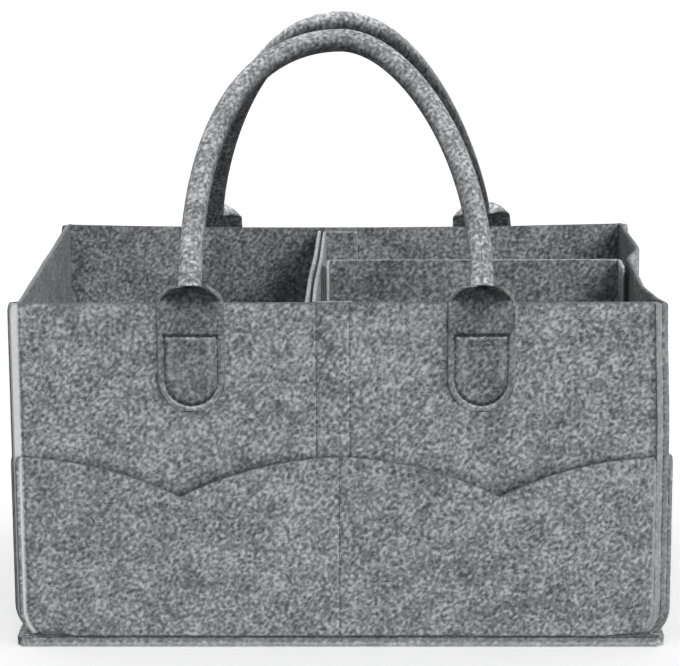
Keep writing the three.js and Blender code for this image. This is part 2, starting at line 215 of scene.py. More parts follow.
# %% [markdown]
# ## Light and floor
# The picture is lit as a studio lights felt: each side has a lamp of its own, so that no wall hides
# in the shade of another. A key light stands to the right of the camera and looks over the front
# rim, so that the inside is light at the top and darker further down and in its right-hand corners.
# A wide, low lamp faces the front wall, so that its tabs and pockets cast only soft shadows. One
# lamp stands behind at the left, one at the right, and others above the handles and the dividers.
# A sky near the horizon fills the rest. To the camera the floor is white, with a lamp of its own
# for a soft contact shadow; to the object it is dark and gives no light back.

# %% Light and floor
Lamp = namedtuple("Lamp", "direction strength softness")
lamp_plans = {
    "key_light": Lamp((0.6, -1.0, 0.5), 1.7, 25),
    "front_light": Lamp((0.6, -1.0, -0.05), 2.65, 80),
    "back_light": Lamp((-0.6, 1.0, 0.5), 3.0, 60),
    "right_light": Lamp((1.0, -0.2, 0.4), 2.2, 60),
    "front_handle_light": Lamp((0.1, -0.33, 1.0), 4.3, 30),
    "back_handle_light": Lamp((0.0, -0.05, 1.0), 6.4, 30),
    "divider_light": Lamp((0.1, 0.3, 1.0), 3.0, 30),
    "floor_lamp": Lamp((0, 0, 1), 1.75, 150),
}
sky_at_horizon = 0.49
sky_overhead = 0.03
floor_glow = 0.36
floor_white = (0.96, 0.96, 0.96, 1)
floor_dark = (0.04, 0.04, 0.04, 1)
floor_half_size = 6.0
floor_drop = 0.2 * MM


def add_sun(name, plan):
    data = bpy.data.lights.new(name, "SUN")
    data.energy = plan.strength
    data.angle = math.radians(plan.softness)
    lamp = bpy.data.objects.new(name, data)
    lamp.matrix_world = Vector(plan.direction).to_track_quat("Z", "Y").to_matrix().to_4x4()
    bpy.context.scene.collection.objects.link(lamp)
    lamp.light_linking.receiver_collection = bpy.data.collections.new(f"{name}_lights")
    lamp.light_linking.blocker_collection = bpy.data.collections.new(f"{name}_blocks")
    return lamp


def link_piece(pieces, piece, state):
    """Names a piece as one that a lamp's list takes (INCLUDE), or leaves out (EXCLUDE)."""
    pieces.objects.link(piece)
    for entry in pieces.collection_objects:
        entry.light_linking.link_state = state


def light_with(lamp, piece, keyed=False):
    """Gives a piece to a lamp of its own, beside the key light or instead of it."""
    link_piece(lamps[lamp].light_linking.receiver_collection, piece, "INCLUDE")
    if not keyed:
        link_piece(lamps["key_light"].light_linking.receiver_collection, piece, "EXCLUDE")


def seen_directly(graph):
    """1 for rays that show the background itself, 0 for rays that only gather light."""
    path = graph.node("ShaderNodeLightPath").outputs
    kinds = ("Is Camera Ray", "Is Glossy Ray", "Is Transmission Ray")
    camera, glossy, transmitted = (Number(graph, path[kind]) for kind in kinds)
    return camera.highest(glossy).highest(transmitted)


world = bpy.data.worlds.new("surround")
world.use_nodes = True
bpy.context.scene.world = world
graph = Graph(world.node_tree)
direction = graph.node("ShaderNodeTexCoord").outputs["Generated"]
heading = graph.node("ShaderNodeSeparateXYZ", None, {0: direction})
level = Number(graph, heading.outputs["Z"]).highest(0.0)
seen = seen_directly(graph)
strength = seen + (1 - seen) * (sky_at_horizon * (1 - level) + sky_overhead * level)
background = graph.node("ShaderNodeBackground", None, {"Color": (1, 1, 1, 1), "Strength": strength})
graph.node("ShaderNodeOutputWorld", None, {"Surface": background.outputs[0]})

floor_finish, graph = new_finish("floor_white")
glow = graph.node("ShaderNodeEmission", None, {"Strength": floor_glow})
matte = graph.node("ShaderNodeBsdfDiffuse", None, {"Color": floor_white})
white = graph.node("ShaderNodeAddShader", None, {0: glow.outputs[0], 1: matte.outputs[0]})
dark = graph.node("ShaderNodeBsdfDiffuse", None, {"Color": floor_dark})
inputs = {0: seen_directly(graph), 1: dark.outputs[0], 2: white.outputs[0]}
graph.surface(graph.node("ShaderNodeMixShader", None, inputs))

floor_corners = [(x * floor_half_size, y * floor_half_size, -floor_drop)
                 for x, y in ((-1, -1), (1, -1), (1, 1), (-1, 1))]
floor_mesh = bpy.data.meshes.new("floor")
floor_mesh.from_pydata(floor_corners, [], [(0, 1, 2, 3)])
floor_mesh.materials.append(floor_finish)
floor = bpy.data.objects.new("floor", floor_mesh)
bpy.context.scene.collection.objects.link(floor)

lamps = {name: add_sun(name, plan) for name, plan in lamp_plans.items()}
light_with("floor_lamp", floor)
side_lamps = {
    "front": "front_light", "right_side": "right_light", "back": "back_light", "left_side": "back_light",
}
for name in dict.fromkeys(side_lamps.values()):
    link_piece(lamps[name].light_linking.blocker_collection, floor, "EXCLUDE")
print("lamps", list(lamps))

# %% [markdown]
# ## The felt
# Melange felt is needled from light and dark fibres that lie in all directions. A woven pattern
# would be wrong, and one plain noise looks like stone. So three noises are each stretched along
# another direction, as short bundles of fibre, and their sum gives the speckle: light where they
# meet, dark where none lies. A slow cloud varies it. Single curled fibres lie on top: thin lines
# where one more noise crosses its middle value. Cut edges show fibre ends, which are evenly grey;
# the sheets mark them with an attribute called cut_edge. A second attribute paints a highlight
# into the colour: it brightens the front fins, the tab margins and the cut edges of the divider
# flaps towards a light tone, where light catches them.

# %% Felt finish
fibre_turns = [(0.3, 0.5, 0.2), (1.2, -0.6, 0.9), (-0.7, 0.4, -1.1)]
fibre_stretch = 1.3
fibres_per_metre = 560
bends_per_metre = 260
fibre_bend = 1 * MM
clouds_per_metre = 70
cloud_weight = 0.7
curls_per_metre = 330
curl_edge = (0.015, 0.05)
curl_patches = (0.45, 0.62)
curl_weight = 0.45
cut_evenness = 0.6
fibre_relief = 0.2 * MM
darkest_sum, lightest_sum = 1.03, 1.97
felt_tones = ((0.088, 0.089, 0.094), (0.225, 0.228, 0.240), (0.50, 0.505, 0.52))
# The light tone of the painted highlight
highlight_tone = (0.66, 0.665, 0.68)


def felt_finish(name, dark, middle, light, seed):
    """Needled melange felt. The three tones are its dark fibres, its ground and its light fibres."""
    material, graph = new_finish(name)

    def noise(place, scale, detail):
        inputs = {"Vector": place, "Scale": scale, "Detail": detail, "Roughness": 0.5}
        return graph.number("ShaderNodeTexNoise", "Fac", None, inputs)

    place = graph.node("ShaderNodeTexCoord").outputs["Object"]
    shift = graph.node("ShaderNodeMapping", None, {"Vector": place, "Location": (seed, 0, 0)}).outputs[0]
    bending = graph.node("ShaderNodeTexNoise", None, {"Vector": shift, "Scale": bends_per_metre, "Detail": 1})
    bent = graph.node("ShaderNodeVectorMath", {"operation": "MULTIPLY_ADD"}, {
        0: bending.outputs["Color"], 1: (fibre_bend, fibre_bend, fibre_bend), 2: shift,
    }).outputs[0]
    speckle = noise(shift, clouds_per_metre, 1.5) * cloud_weight - cloud_weight / 2
    for turn in fibre_turns:
        laid = graph.node("ShaderNodeMapping", {"vector_type": "TEXTURE"}, {
            "Vector": bent, "Rotation": turn, "Scale": (1, 1, fibre_stretch),
        }).outputs[0]
        speckle = speckle + noise(laid, fibres_per_metre, 0.6)
    tone = ((speckle - darkest_sum) * (1 / (lightest_sum - darkest_sum))).highest(0.0).lowest(1.0)
    off_line = noise(bent, curls_per_metre, 0.5) - 0.5
    curl = 1 - off_line.highest(0 - off_line).between(*curl_edge)
    curl = curl * noise(shift, curls_per_metre * 0.55, 0).between(*curl_patches)
    colour = graph.blended((tone * 2).lowest(1.0), (*dark, 1), (*middle, 1))
    colour = graph.blended((tone * 2 - 1).highest(0.0), colour, (*light, 1))
    colour = graph.blended(curl * curl_weight, colour, (*light, 1))
    cut = graph.number("ShaderNodeAttribute", "Fac", {"attribute_name": "cut_edge"})
    # Painted highlight: the second attribute blends the colour towards a light tone where light catches edges
    # and fins
    highlight_share = graph.number("ShaderNodeAttribute", "Fac", {"attribute_name": "painted_highlight"})
    colour = graph.blended(cut * cut_evenness, colour, (*middle, 1))
    colour = graph.blended(highlight_share, colour, (*highlight_tone, 1))
    height = tone * 0.8 + curl * 0.5
    bump = graph.node("ShaderNodeBump", None, {"Strength": 0.55, "Distance": fibre_relief, "Height": height})
    shader = graph.node("ShaderNodeBsdfPrincipled", None, {
        "Base Color": colour, "Roughness": 0.96, "Specular IOR Level": 0.15,
        "Sheen Weight": 0.12, "Sheen Roughness": 0.6, "Normal": bump.outputs[0],
    })
    graph.surface(shader)
    return material


body_felt = felt_finish("body_felt", *felt_tones, 0.0)
pocket_felt_finish = felt_finish("pocket_felt", *felt_tones, 0.7)
handle_felt_finish = felt_finish("handle_felt", *felt_tones, 1.4)
divider_felt_finish = felt_finish("divider_felt", *felt_tones, 2.1)
felts = (body_felt, pocket_felt_finish, handle_felt_finish, divider_felt_finish)
print("felt finishes", [finish.name for finish in felts])

# %% [markdown]
# ## Thread, tape and cord finishes
# The small finishes are one base colour with a grain of its own: a twist on the sewing thread, a
# brushed mottle on the loop tape, moulding marks on the hook tape and a loose lay on the filler cord.

# %% Small finishes
def grained_finish(name, dark, light, grains_per_metre, roughness, bump_depth):
    """A finish of two tones with a noise grain, which also roughens it."""
    material, graph = new_finish(name)
    place = graph.node("ShaderNodeTexCoord").outputs["Object"]
    inputs = {"Vector": place, "Scale": grains_per_metre, "Detail": 3, "Roughness": 0.6}
    grain = graph.number("ShaderNodeTexNoise", "Fac", None, inputs)
    colour = graph.blended(grain.between(0.3, 0.7), (*dark, 1), (*light, 1))
    bump = graph.node("ShaderNodeBump", None, {"Strength": 0.4, "Distance": bump_depth, "Height": grain})
    shader = graph.node("ShaderNodeBsdfPrincipled", None, {
        "Base Color": colour, "Roughness": roughness + grain * 0.1, "Specular IOR Level": 0.25,
        "Normal": bump.outputs[0],
    })
    graph.surface(shader)
    return material


thread_grain = (2500, 0.6, 0.05 * MM)
thread_finish = grained_finish("sewing_thread", (0.035, 0.036, 0.04), (0.10, 0.10, 0.11), *thread_grain)
grey_thread_finish = grained_finish("grey_thread", (0.05, 0.05, 0.055), (0.12, 0.12, 0.13), *thread_grain)
pale_thread_finish = grained_finish("pale_thread", (0.14, 0.14, 0.15), (0.26, 0.26, 0.28), *thread_grain)
loop_finish = grained_finish("loop_tape", (0.18, 0.18, 0.185), (0.38, 0.38, 0.39), 900, 0.85, 0.2 * MM)
hook_finish = grained_finish("hook_tape", (0.16, 0.16, 0.165), (0.32, 0.32, 0.33), 700, 0.45, 0.05 * MM)
cord_finish = grained_finish("core_cord", (0.52, 0.50, 0.46), (0.78, 0.76, 0.72), 900, 0.9, 0.2 * MM)
small = (thread_finish, grey_thread_finish, pale_thread_finish, loop_finish, hook_finish, cord_finish)
print("small finishes", [finish.name for finish in small])

# %% [markdown]
# ## A sheet of felt
# Every felt piece is one sheet with some thickness, so one helper makes them all. It takes a grid of
# points on the middle of the sheet, finds which way is out from the grid itself, and lays an outer
# and an inner face on either side. The thickness runs out in a round at the edges, where both
# faces share their last points, so the sheet is closed without a sharp rim.

# %% Sheet helpers
edge_steps = 4


def spread(start, end, step):
    """Even places from start to end, about a step apart."""
    return np.linspace(start, end, max(1, round(abs(end - start) / step)) + 1)


def spread_near(start, end, step, marks, reach, fine):
    """Places about a step apart, and finer within reach of each mark."""
    close = [spread(mark - reach, mark + reach, fine) for mark in marks]
    places = np.concatenate([spread(start, end, step), *close])
    places = np.sort(places[(places >= start) & (places <= end)])
    keep = np.concatenate([[True], np.diff(places) > fine / 2])
    keep[-1] = True
    return places[keep]


def round_ends(places, radius):
    """The same places with a few more over the round of each cut edge."""
    curve = radius * (1 - np.cos(np.linspace(0, np.pi / 2, edge_steps + 1)))
    inside = places[(places > places[0] + 1.2 * radius) & (places < places[-1] - 1.2 * radius)]
    return np.concatenate([places[0] + curve, inside, places[-1] - curve[::-1]])


def rounded_off(depths):
    """A quarter round: 0 at no depth, 1 from a depth of one radius on."""
    return np.sqrt(1 - np.clip(1 - depths, 0, 1) ** 2)


def fullness(places, radius):
    """Share of the full thickness at each place: none at the two edges, all past their round."""
    return rounded_off(np.minimum(places - places[0], places[-1] - places) / radius)


def cut_share(full):
    """How much of a cut edge shows at a share of thickness: all at the tip, none from half on."""
    return np.clip(2 - 2 * full, 0, 1)


def arc_lengths(points):
    """How far along a line of points each of them lies."""
    return np.concatenate([[0], np.cumsum(np.linalg.norm(np.diff(points, axis=0), axis=1))])


def smooth_step(start, end, values):
    share = np.clip((values - start) / (end - start), 0, 1)
    return share * share * (3 - 2 * share)


def plain_mesh(name, points, faces, finish, **marks):
    """A smooth mesh without unused points, with its finish and its named attributes."""
    used, renumbered = np.unique(np.asarray(faces), return_inverse=True)
    mesh = bpy.data.meshes.new(name)
    mesh.from_pydata(np.asarray(points)[used].tolist(), [], renumbered.reshape(-1, 4).tolist())
    mesh.shade_smooth()
    mesh.materials.append(finish)
    for mark, values in marks.items():
        mesh.attributes.new(mark, "FLOAT", "POINT").data.foreach_set("value", values[used])
    return mesh


here, after = slice(None, -1), slice(1, None)
quad_corners = [(here, here), (here, after), (after, after), (after, here)]


def sheet_mesh(name, middle, thickness, full, finish, outer_relief=0.0, highlight_share=0.0):
    """A closed sheet round a grid of middle points. outer_relief raises or sinks its outer face."""
    rows, columns = middle.shape[:2]
    outward = np.cross(np.gradient(middle, axis=1), np.gradient(middle, axis=0))
    outward /= np.linalg.norm(outward, axis=2, keepdims=True)
    half = (thickness / 2 * full)[..., None]
    relief = np.broadcast_to(outer_relief * full, full.shape)[..., None]
    points = np.concatenate([
        (middle + outward * (half + relief)).reshape(-1, 3),
        (middle - outward * half).reshape(-1, 3),
    ])
    outer = np.arange(rows * columns).reshape(rows, columns)
    inner = outer + rows * columns
    for border in ((0, slice(None)), (-1, slice(None)), (slice(None), 0), (slice(None), -1)):
        inner[border] = outer[border]
    faces = [np.stack([grid[a] for a in corners], -1).reshape(-1, 4) for grid, corners in (
        (outer, quad_corners), (inner, quad_corners[::-1]))]
    # cut_edge marks the rounded cut edges; the second mark carries the painted highlight
    marks = {"cut_edge": cut_share(full), "painted_highlight": highlight_share}
    for mark, values in marks.items():
        marks[mark] = np.tile(np.broadcast_to(values, full.shape).ravel(), 2).astype(np.float32)
    return plain_mesh(name, points, np.concatenate(faces), finish, **marks)


def add_piece(name, mesh, body, slot, *nodes):
    """Puts a mesh in the scene as a piece that rides on a body and stands for CAD nodes."""
    piece = bpy.data.objects.new(name, mesh)
    bpy.context.scene.collection.objects.link(piece)
    if body:
        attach(piece, body)
    if nodes:
        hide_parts(*nodes)
    return piece


def joined(name, *meshes):
    """One mesh of several closed shells."""
    shells = bmesh.new()
    for mesh in meshes:
        shells.from_mesh(mesh)
    mesh = bpy.data.meshes.new(name)
    shells.to_mesh(mesh)
    shells.free()
    mesh.shade_smooth()
    mesh.materials.append(meshes[0].materials[0])
    return mesh


# %% [markdown]
# ## The line of a wall
# Seen from above, each wall runs straight and then turns out at both ends: the raw edges of two
# neighbouring walls are sewn together there and stand out as a fin. At the back the fins stand
# halfway between the walls. At the front the picture shows the left one laid over to the side and
# the right one pointing more to the front. Layers further out, such as the pockets, fold nearer to
# the middle of the wall. All walls are drawn as the front one, along X and facing -Y, and then
# turned to their side.

# %% Wall line
Fin = namedtuple("Fin", "lean shift reach")
fin_top_round = 2.0 * MM
fin_top_drop = 6 * MM
fin_edge = 0.35 * MM
fold_radius = 1.2 * MM
corner_tuck = 5 * MM
corner_tuck_height = 20 * MM
corner_tuck_spread = 26 * MM
corner_lean = 1.9 * MM
crease_depth = 0.8 * MM
crease_width = 0.6 * MM
fin_step = 0.45 * MM
fold_margin = 0.3 * MM
fold_reach = 2.4 * MM
layer_play = 0.04 * MM
# Painted highlight on the front fins: its strength on each fin, where it rises and fades, and how far it
# reaches
left_fin_highlight = 0.85
right_fin_highlight = 0.2
highlight_rise = (0.6 * MM, 1.8 * MM)
highlight_fade = 0.8 * MM
panel_highlight_reach = 10 * MM
pocket_highlight_reach = 2.3 * MM

# Each fin's lean toward the side, its shift to the side and its length from the inner corner
front_left_fin = Fin(math.radians(68), 2.9 * MM, 4.5 * MM)
front_right_fin = Fin(math.radians(16), 1.9 * MM, 4.3 * MM)
back_fin = Fin(math.radians(45), 0.0, 4.8 * MM)


class Wall:
    """One side of the box: its length, how far it stands from the middle, and its quarter turns."""

    def __init__(self, side, turn, *fins):
        self.side = side
        self.turn = turn
        self.fins = fins
        self.is_long = turn % 2 == 0
        self.half_length = inner_half_width if self.is_long else inner_half_depth
        self.half_depth = inner_half_depth if self.is_long else inner_half_width

    def fold(self, offset, end):
        """Where a layer leaves the straight at an end, its angle of turn, and its length on the fin."""
        fin = self.fins[end]
        turn = math.pi / 2 - fin.lean if self.is_long else fin.lean
        along, out = (fin.shift, 0.0) if self.is_long else (0.0, fin.shift)
        from_plane = layer_gap / 2 + offset
        up_fin = (offset - out - from_plane * math.cos(turn)) / math.sin(turn)
        place = self.half_length + along + up_fin * math.cos(turn) - from_plane * math.sin(turn)
        tangent = fold_radius * math.tan(turn / 2)
        return place - tangent, turn, fin.reach - up_fin - tangent

    def straight(self, offset):
        """Places where a layer leaves the straight, at its two ends."""
        return -self.fold(offset, 0)[0], self.fold(offset, 1)[0]

    def run(self, offset):
        """Places of a layer's two ends, on the tips of its fins."""
        folds = [self.fold(offset, end) for end in (0, 1)]
        left, right = (place + fold_radius * turn + fin for place, turn, fin in folds)
        return -left, right

    def line(self, offset, places):
        """x and y of a layer at places along it, measured from the middle of the wall."""
        sides = []
        for end, side in ((0, -1), (1, 1)):
            start, turn, _ = self.fold(offset, end)
            run = side * places
            turned = np.clip((run - start) / fold_radius, 0, turn)
            beyond = np.maximum(0, run - start - fold_radius * turn)
            x = np.minimum(run, start) + fold_radius * np.sin(turned) + beyond * math.cos(turn)
            y = self.half_depth + offset + fold_radius * (1 - np.cos(turned)) + beyond * math.sin(turn)
            sides.append((side * x, -y))
        return [np.where(places < 0, left, right) for left, right in zip(*sides)]

    def placed(self, x, y, z):
        """Points of the wall's own drawing, turned to its side of the box."""
        cosine, sine = math.cos(self.turn * math.pi / 2), math.sin(self.turn * math.pi / 2)
        return np.stack([cosine * x - sine * y, sine * x + cosine * y, z], -1)


pocket_middle = panel_felt + layer_gap + pocket_felt / 2
walls = {wall.side: wall for wall in (
    Wall("front", 0, front_left_fin, front_right_fin), Wall("right_side", 1, front_right_fin, back_fin),
    Wall("back", 2, back_fin, back_fin), Wall("left_side", 3, back_fin, front_left_fin),
)}
for wall in walls.values():
    print(wall.side, "runs in mm from", [round(place / MM, 1) for place in wall.run(panel_felt / 2)])

# %% [markdown]
# ## Relaxed felt
# New felt boxes are never quite flat. A slow wave of less than a millimetre keeps the walls from
# looking like board. The lower corners are drawn in where the fins run into the bottom seam, the
# right wall is pulled in by the divider that is fixed to it, and the back rim dips.

# %% Shape of the walls
wave_depth = 0.45 * MM
wall_pull = 5 * MM
wall_push = 1.8 * MM
wall_pull_ramp = 45 * MM
wall_push_behind = 36 * MM
back_rim_dip = 2 * MM
tape_low, tape_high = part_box("right_loop_strip")
divider_felt = 2 * MM
divider_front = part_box("long_divider")[1].y - divider_felt
wave_fade = 60 * MM


def slow_wave(x, z, phase):
    """A gentle unevenness, from -1 to 1."""
    first = np.sin(x / (23 * MM) + 1.7 * phase) * np.sin(z / (31 * MM) + phase)
    second = np.sin(x / (11 * MM) - z / (17 * MM) + 2.3 * phase)
    return 0.7 * first + 0.3 * second


def drawn_in(wall, x, z):
    """How far a wall lies inward of its straight place."""
    inward = wave_depth * slow_wave(x, z, wall.turn + 1)
    inward = inward * smooth_step(0, wave_fade, wall.half_length - np.abs(x))
    if wall.side != "right_side":
        return inward
    pulled = wall_pull * smooth_step(-wall.half_length, wall_pull_ramp - wall.half_length, x)
    swell_at = divider_front + wall_push_behind
    push = pulled + (-wall_push - pulled) * smooth_step(divider_front, swell_at, x)
    push = push * (1 - smooth_step(swell_at, wall.half_length, x))
    inward = inward * (1 - smooth_step(0, wall_pull, push))
    return inward + push * smooth_step(corner_tuck_height, tape_low.z, z)


def cornered(wall, x, y, z):
    """The lower corners drawn in over the bottom seam, and the front right one leaning out."""
    depth = np.maximum(0, corner_tuck_height - z) / (corner_tuck_height - wall_foot)
    near = smooth_step(wall.half_length - corner_tuck_spread, wall.half_length - panel_felt, np.abs(x))
    inset = corner_tuck * np.minimum(1, depth * depth) * near
    out = corner_lean * near * (1 - smooth_step(0.6 * rim_height, rim_height, z))
    along = np.where(x > 0, out, 0) if wall.side == "front" else 0
    away = np.where(x < 0, out, 0) if wall.side == "right_side" else 0
    return x - np.sign(x) * inset + along, y + inset - away


def on_fin(wall, offset, places):
    """Where a layer has left the straight."""
    left, right = wall.straight(offset)
    return (places < left) | (places > right)


def fin_rounded(wall, offset, places, heights, tops):
    """Places along a layer, with the fin's upper corner rounded off."""
    share = np.clip((heights - tops) / fin_top_drop + 1, 0, 1)
    cut = fin_top_round * (1 - np.sqrt(1 - share ** 2))
    for start, tip in zip(wall.straight(offset), wall.run(offset)):
        shorter = start + (places - start) * (1 - cut / abs(tip - start))
        places = np.where(places * np.sign(tip) > abs(start), shorter, places)
    return places


def fin_crease(wall, offset, places):
    """Relief of the crease where the front layers are sewn down beside their left fin."""
    if wall.side != "front":
        return np.zeros_like(places)
    return -crease_depth * np.exp(-((places - wall.straight(offset)[0]) / crease_width) ** 2)


def fin_highlight(wall, offset, places, reach):
    """How much painted highlight a layer gets on the front fins: most on the left one, which lies to the
    side.
    """
    if wall.side != "front":
        return np.zeros_like(places)
    left, right = wall.straight(offset)
    on_left = smooth_step(*highlight_rise, left - places)
    on_left = on_left * (1 - smooth_step(reach, reach + highlight_fade, left - places))
    on_right = smooth_step(*highlight_rise, places - right)
    return left_fin_highlight * on_left + right_fin_highlight * on_right


def fin_layer(wall, offset, thickness, marks, step, fine):
    """Places along a layer, closer on its fins, and its share of thickness: sewn layers lie tight."""
    left, right = wall.run(offset)
    start, end = wall.straight(offset)
    places = spread_near(left, right, step, [*marks, start, end], fold_reach, fine)
    places = places[(places > start + fold_margin) & (places < end - fold_margin)]
    places = np.concatenate([spread(left, start, fin_step), places, spread(end, right, fin_step)])
    places = round_ends(places, fin_edge)
    tight = 1 + np.where(on_fin(wall, offset, places), (layer_gap - layer_play) / thickness, 0)
    return places, fullness(places, fin_edge) * tight


# %% [markdown]
# ## Sewn grooves
# A seam presses the felt down along the thread. The groove is a narrow dip in the outer face, and
# the grid is finer there. The same lines are kept in a list, and become rows of stitches later.

# %% Groove and seam helpers
groove_width = 0.9 * MM
groove_depth = 0.8 * MM
shallow_groove = 0.4 * MM
thread_radius = 0.32 * MM
fine_thread_radius = 0.22 * MM
seams = {"tab": [], "wall": [], "cross_divider": [], "long_divider": []}


def groove(distance, depth):
    """Relief of a groove at a distance from its line."""
    return -depth * np.exp(-(distance / groove_width) ** 2)


def shallow_grooves(across, lines):
    """Relief of the grooves along upright lines."""
    return sum((groove(across - line, shallow_groove) for line in lines), np.zeros_like(across))


def add_seam(kind, points):
    """Keeps a line of stitches, given as points at the groove's bottom."""
    seams[kind].append(np.asarray(points))


def sew_layer(wall, middle, thickness):
    """Keeps a seam on the outer face of a wall's layer, given as points on its middle."""
    depth = thickness / 2 - shallow_groove + fine_thread_radius / 2
    add_seam("wall", middle + np.array(wall.placed(0.0, -1.0, 0.0)) * depth)


# %% [markdown]
# ## Walls
# A wall is a grid of places along its line by heights. Two rows of stitches run down the outside of
# a wall where a loop tape is sewn to its inside. Its foot is pressed flat on the rim of the bottom
# panel: that flange is a second, thinner shell with mitred ends, and the dark crease above it is
# the bottom seam.

# %% Wall panels
panel_edge = 1.0 * MM
stitch_inset = 1.2 * MM
wall_step, wall_rise = 3 * MM, 3.5 * MM
seam_step = 0.4 * MM
rim_step, rim_reach = 1.0 * MM, 9 * MM
rim_stitch_drop = 1.5 * MM
flange_step = 0.9 * MM
flange_unevenness = 0.35 * MM
flange_share_step, flange_share_edge = 0.02, 0.002
front_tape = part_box("front_loop_strip")
tape_lines = {
    "front": [front_tape[0].x + stitch_inset, front_tape[1].x - stitch_inset],
    "back": [stitch_inset - front_tape[1].x, -stitch_inset - front_tape[0].x],
    "right_side": [tape_low.y + stitch_inset, tape_high.y - stitch_inset],
    "left_side": [],
}
tape_stitch_foot = tape_low.z + stitch_inset


def wall_surface(wall, places, heights):
    """Middle points of a wall panel, with the heights of its rim."""
    offset = panel_felt / 2
    dip = back_rim_dip if wall.side == "back" else 0.0
    sag = dip * (1 - np.clip(places / wall.half_length, -1, 1) ** 2)
    tops = rim_height - sag
    z = heights - sag * smooth_step(rim_height / 2, rim_height, heights)
    rounded = fin_rounded(wall, offset, places, z, tops)
    x, y = wall.line(offset, rounded)
    y = y + np.where(on_fin(wall, offset, places), 0, drawn_in(wall, x, z))
    x, y = cornered(wall, x, y, z)
    return wall.placed(x, y, z)


def wall_flange(wall):
    """The pressed edge of the wall, mitred at both ends, on the rim of the bottom panel."""
    out_places = round_ends(spread(0, panel_felt + flange_reach, flange_step), fin_edge)
    shares = round_ends(spread(-1, 1, flange_share_step), flange_share_edge)
    centre = panel_felt + flange_reach - flange_corner
    corner = np.sqrt(np.maximum(0, flange_corner ** 2 - np.maximum(0, out_places - centre) ** 2))
    reach = np.minimum(out_places - layer_gap / 2, centre + corner)
    x = shares[None, :] * (wall.half_length + reach)[:, None]
    uneven = flange_unevenness * slow_wave(x * 3, x, wall.turn + 3)
    uneven = uneven * (out_places / out_places[-1])[:, None]
    y = uneven - wall.half_depth - out_places[:, None]
    z = np.full_like(x, flange_foot + flange_felt / 2)
    tight = 1 + 2 * (layer_gap - layer_play) / flange_felt
    full = tight * fullness(out_places, fin_edge)[:, None] * fullness(shares, flange_share_edge)[None, :]
    return sheet_mesh("flange", wall.placed(x, y, z)[::-1], flange_felt, full[::-1], body_felt)


def add_wall(wall):
    lines = tape_lines[wall.side]
    places, width_full = fin_layer(wall, panel_felt / 2, panel_felt, lines, wall_step, seam_step)
    foot = flange_top + layer_gap / 2
    heights = spread_near(foot, rim_height, wall_rise, [foot, rim_height], rim_reach, rim_step)
    heights = round_ends(heights, panel_edge)
    across, up = np.meshgrid(places, heights)
    full = fullness(heights, panel_edge)[:, None] * width_full[None, :]
    relief = shallow_grooves(across, lines)
    relief = relief * smooth_step(tape_stitch_foot - 2 * MM, tape_stitch_foot, up)
    relief = relief + fin_crease(wall, panel_felt / 2, across)
    # Painted highlight on the front fins, where light catches them
    fin_highlight_share = fin_highlight(wall, panel_felt / 2, across, panel_highlight_reach)
    sheet = sheet_mesh(wall.side, wall_surface(wall, across, up), panel_felt, full, body_felt, relief, fin_highlight_share)
    for line in lines:
        seam_heights = spread(rim_height - rim_stitch_drop, tape_stitch_foot, 4 * MM)
        sew_layer(wall, wall_surface(wall, np.full_like(seam_heights, line), seam_heights), panel_felt)
    mesh = joined(wall.side, sheet, wall_flange(wall))
    panel = add_piece(f"{wall.side}_panel_felt", mesh, "caddy", "body_felt", f"{wall.side}_panel")
    return panel


for wall in walls.values():
    panel = add_wall(wall)
    light_with(side_lamps[wall.side], panel, keyed=wall.side != "front")
    if wall.side == "front":
        light_with(side_lamps["back"], panel, keyed=True)
    print(panel.name, len(panel.data.polygons), "faces")

# %% [markdown]
# ## Bottom panel
# The bottom is one flat sheet with round corners, a little wider than the walls so that their
# flanges can be sewn to its rim.

# %% Bottom panel
bottom_edge = 0.45 * MM
bottom_step = 3 * MM
bottom_share_step, bottom_share_edge = 0.018, 0.003


def add_bottom():
    half_width, half_depth = bottom_high.x, bottom_high.y
    rows = round_ends(spread(-half_depth, half_depth, bottom_step), bottom_edge)
    shares = round_ends(spread(-1, 1, bottom_share_step), bottom_share_edge)
    into_corner = np.maximum(0, np.abs(rows) - half_depth + flange_corner)
    ends = half_width - flange_corner + np.sqrt(np.maximum(0, flange_corner ** 2 - into_corner ** 2))
    x = shares[None, :] * ends[:, None]
    y = np.broadcast_to(rows[:, None], x.shape)
    middle = np.stack([x, y, np.full_like(x, bottom_felt / 2)], -1)
    full = fullness(rows, bottom_edge)[:, None] * fullness(shares, bottom_share_edge)[None, :]
    mesh = sheet_mesh("bottom_panel_felt", middle, bottom_felt, full, body_felt)
    piece = add_piece("bottom_panel_felt", mesh, "caddy", "body_felt", "bottom_panel")
    for lamp in ("front_light", "divider_light"):
        light_with(lamp, piece, keyed=True)
    return piece


print(add_bottom().name)

# %% [markdown]
# ## Pockets
# A pocket is a sheet in front of a wall, sewn in with the fins and the foot, and on the long sides
# once more down its middle. Its mouth is cut in round scallops that rise to each seam. Between the
# seams it stands a little open, as felt does.

# %% Pockets
pocket_edge = 0.8 * MM
pocket_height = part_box("front_pocket")[1].z
pocket_notch = 19.5 * MM
pocket_gape = 6 * MM
pocket_sink = 0.6 * MM
pocket_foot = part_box("front_pocket")[0].z - pocket_sink
pocket_step, pocket_rise = 2.5 * MM, 3 * MM
mouth_step, mouth_reach = 1.0 * MM, 8 * MM


def pocket_seams(wall):
    end = wall.half_length + panel_felt
    return np.array([-end, 0, end]) if wall.is_long else np.array([-end, end])


def pocket_top(wall, places):
    """Height of the scalloped mouth."""
    lines = pocket_seams(wall)
    half_bay = (lines[1] - lines[0]) / 2
    radius = (half_bay ** 2 + pocket_notch ** 2) / (2 * pocket_notch)
    away = np.min(np.abs(places[..., None] - lines), axis=-1)
    away = np.where(np.abs(places) > lines[-1], 0, np.minimum(away, half_bay))
    return pocket_height - radius + np.sqrt(radius ** 2 - away ** 2)


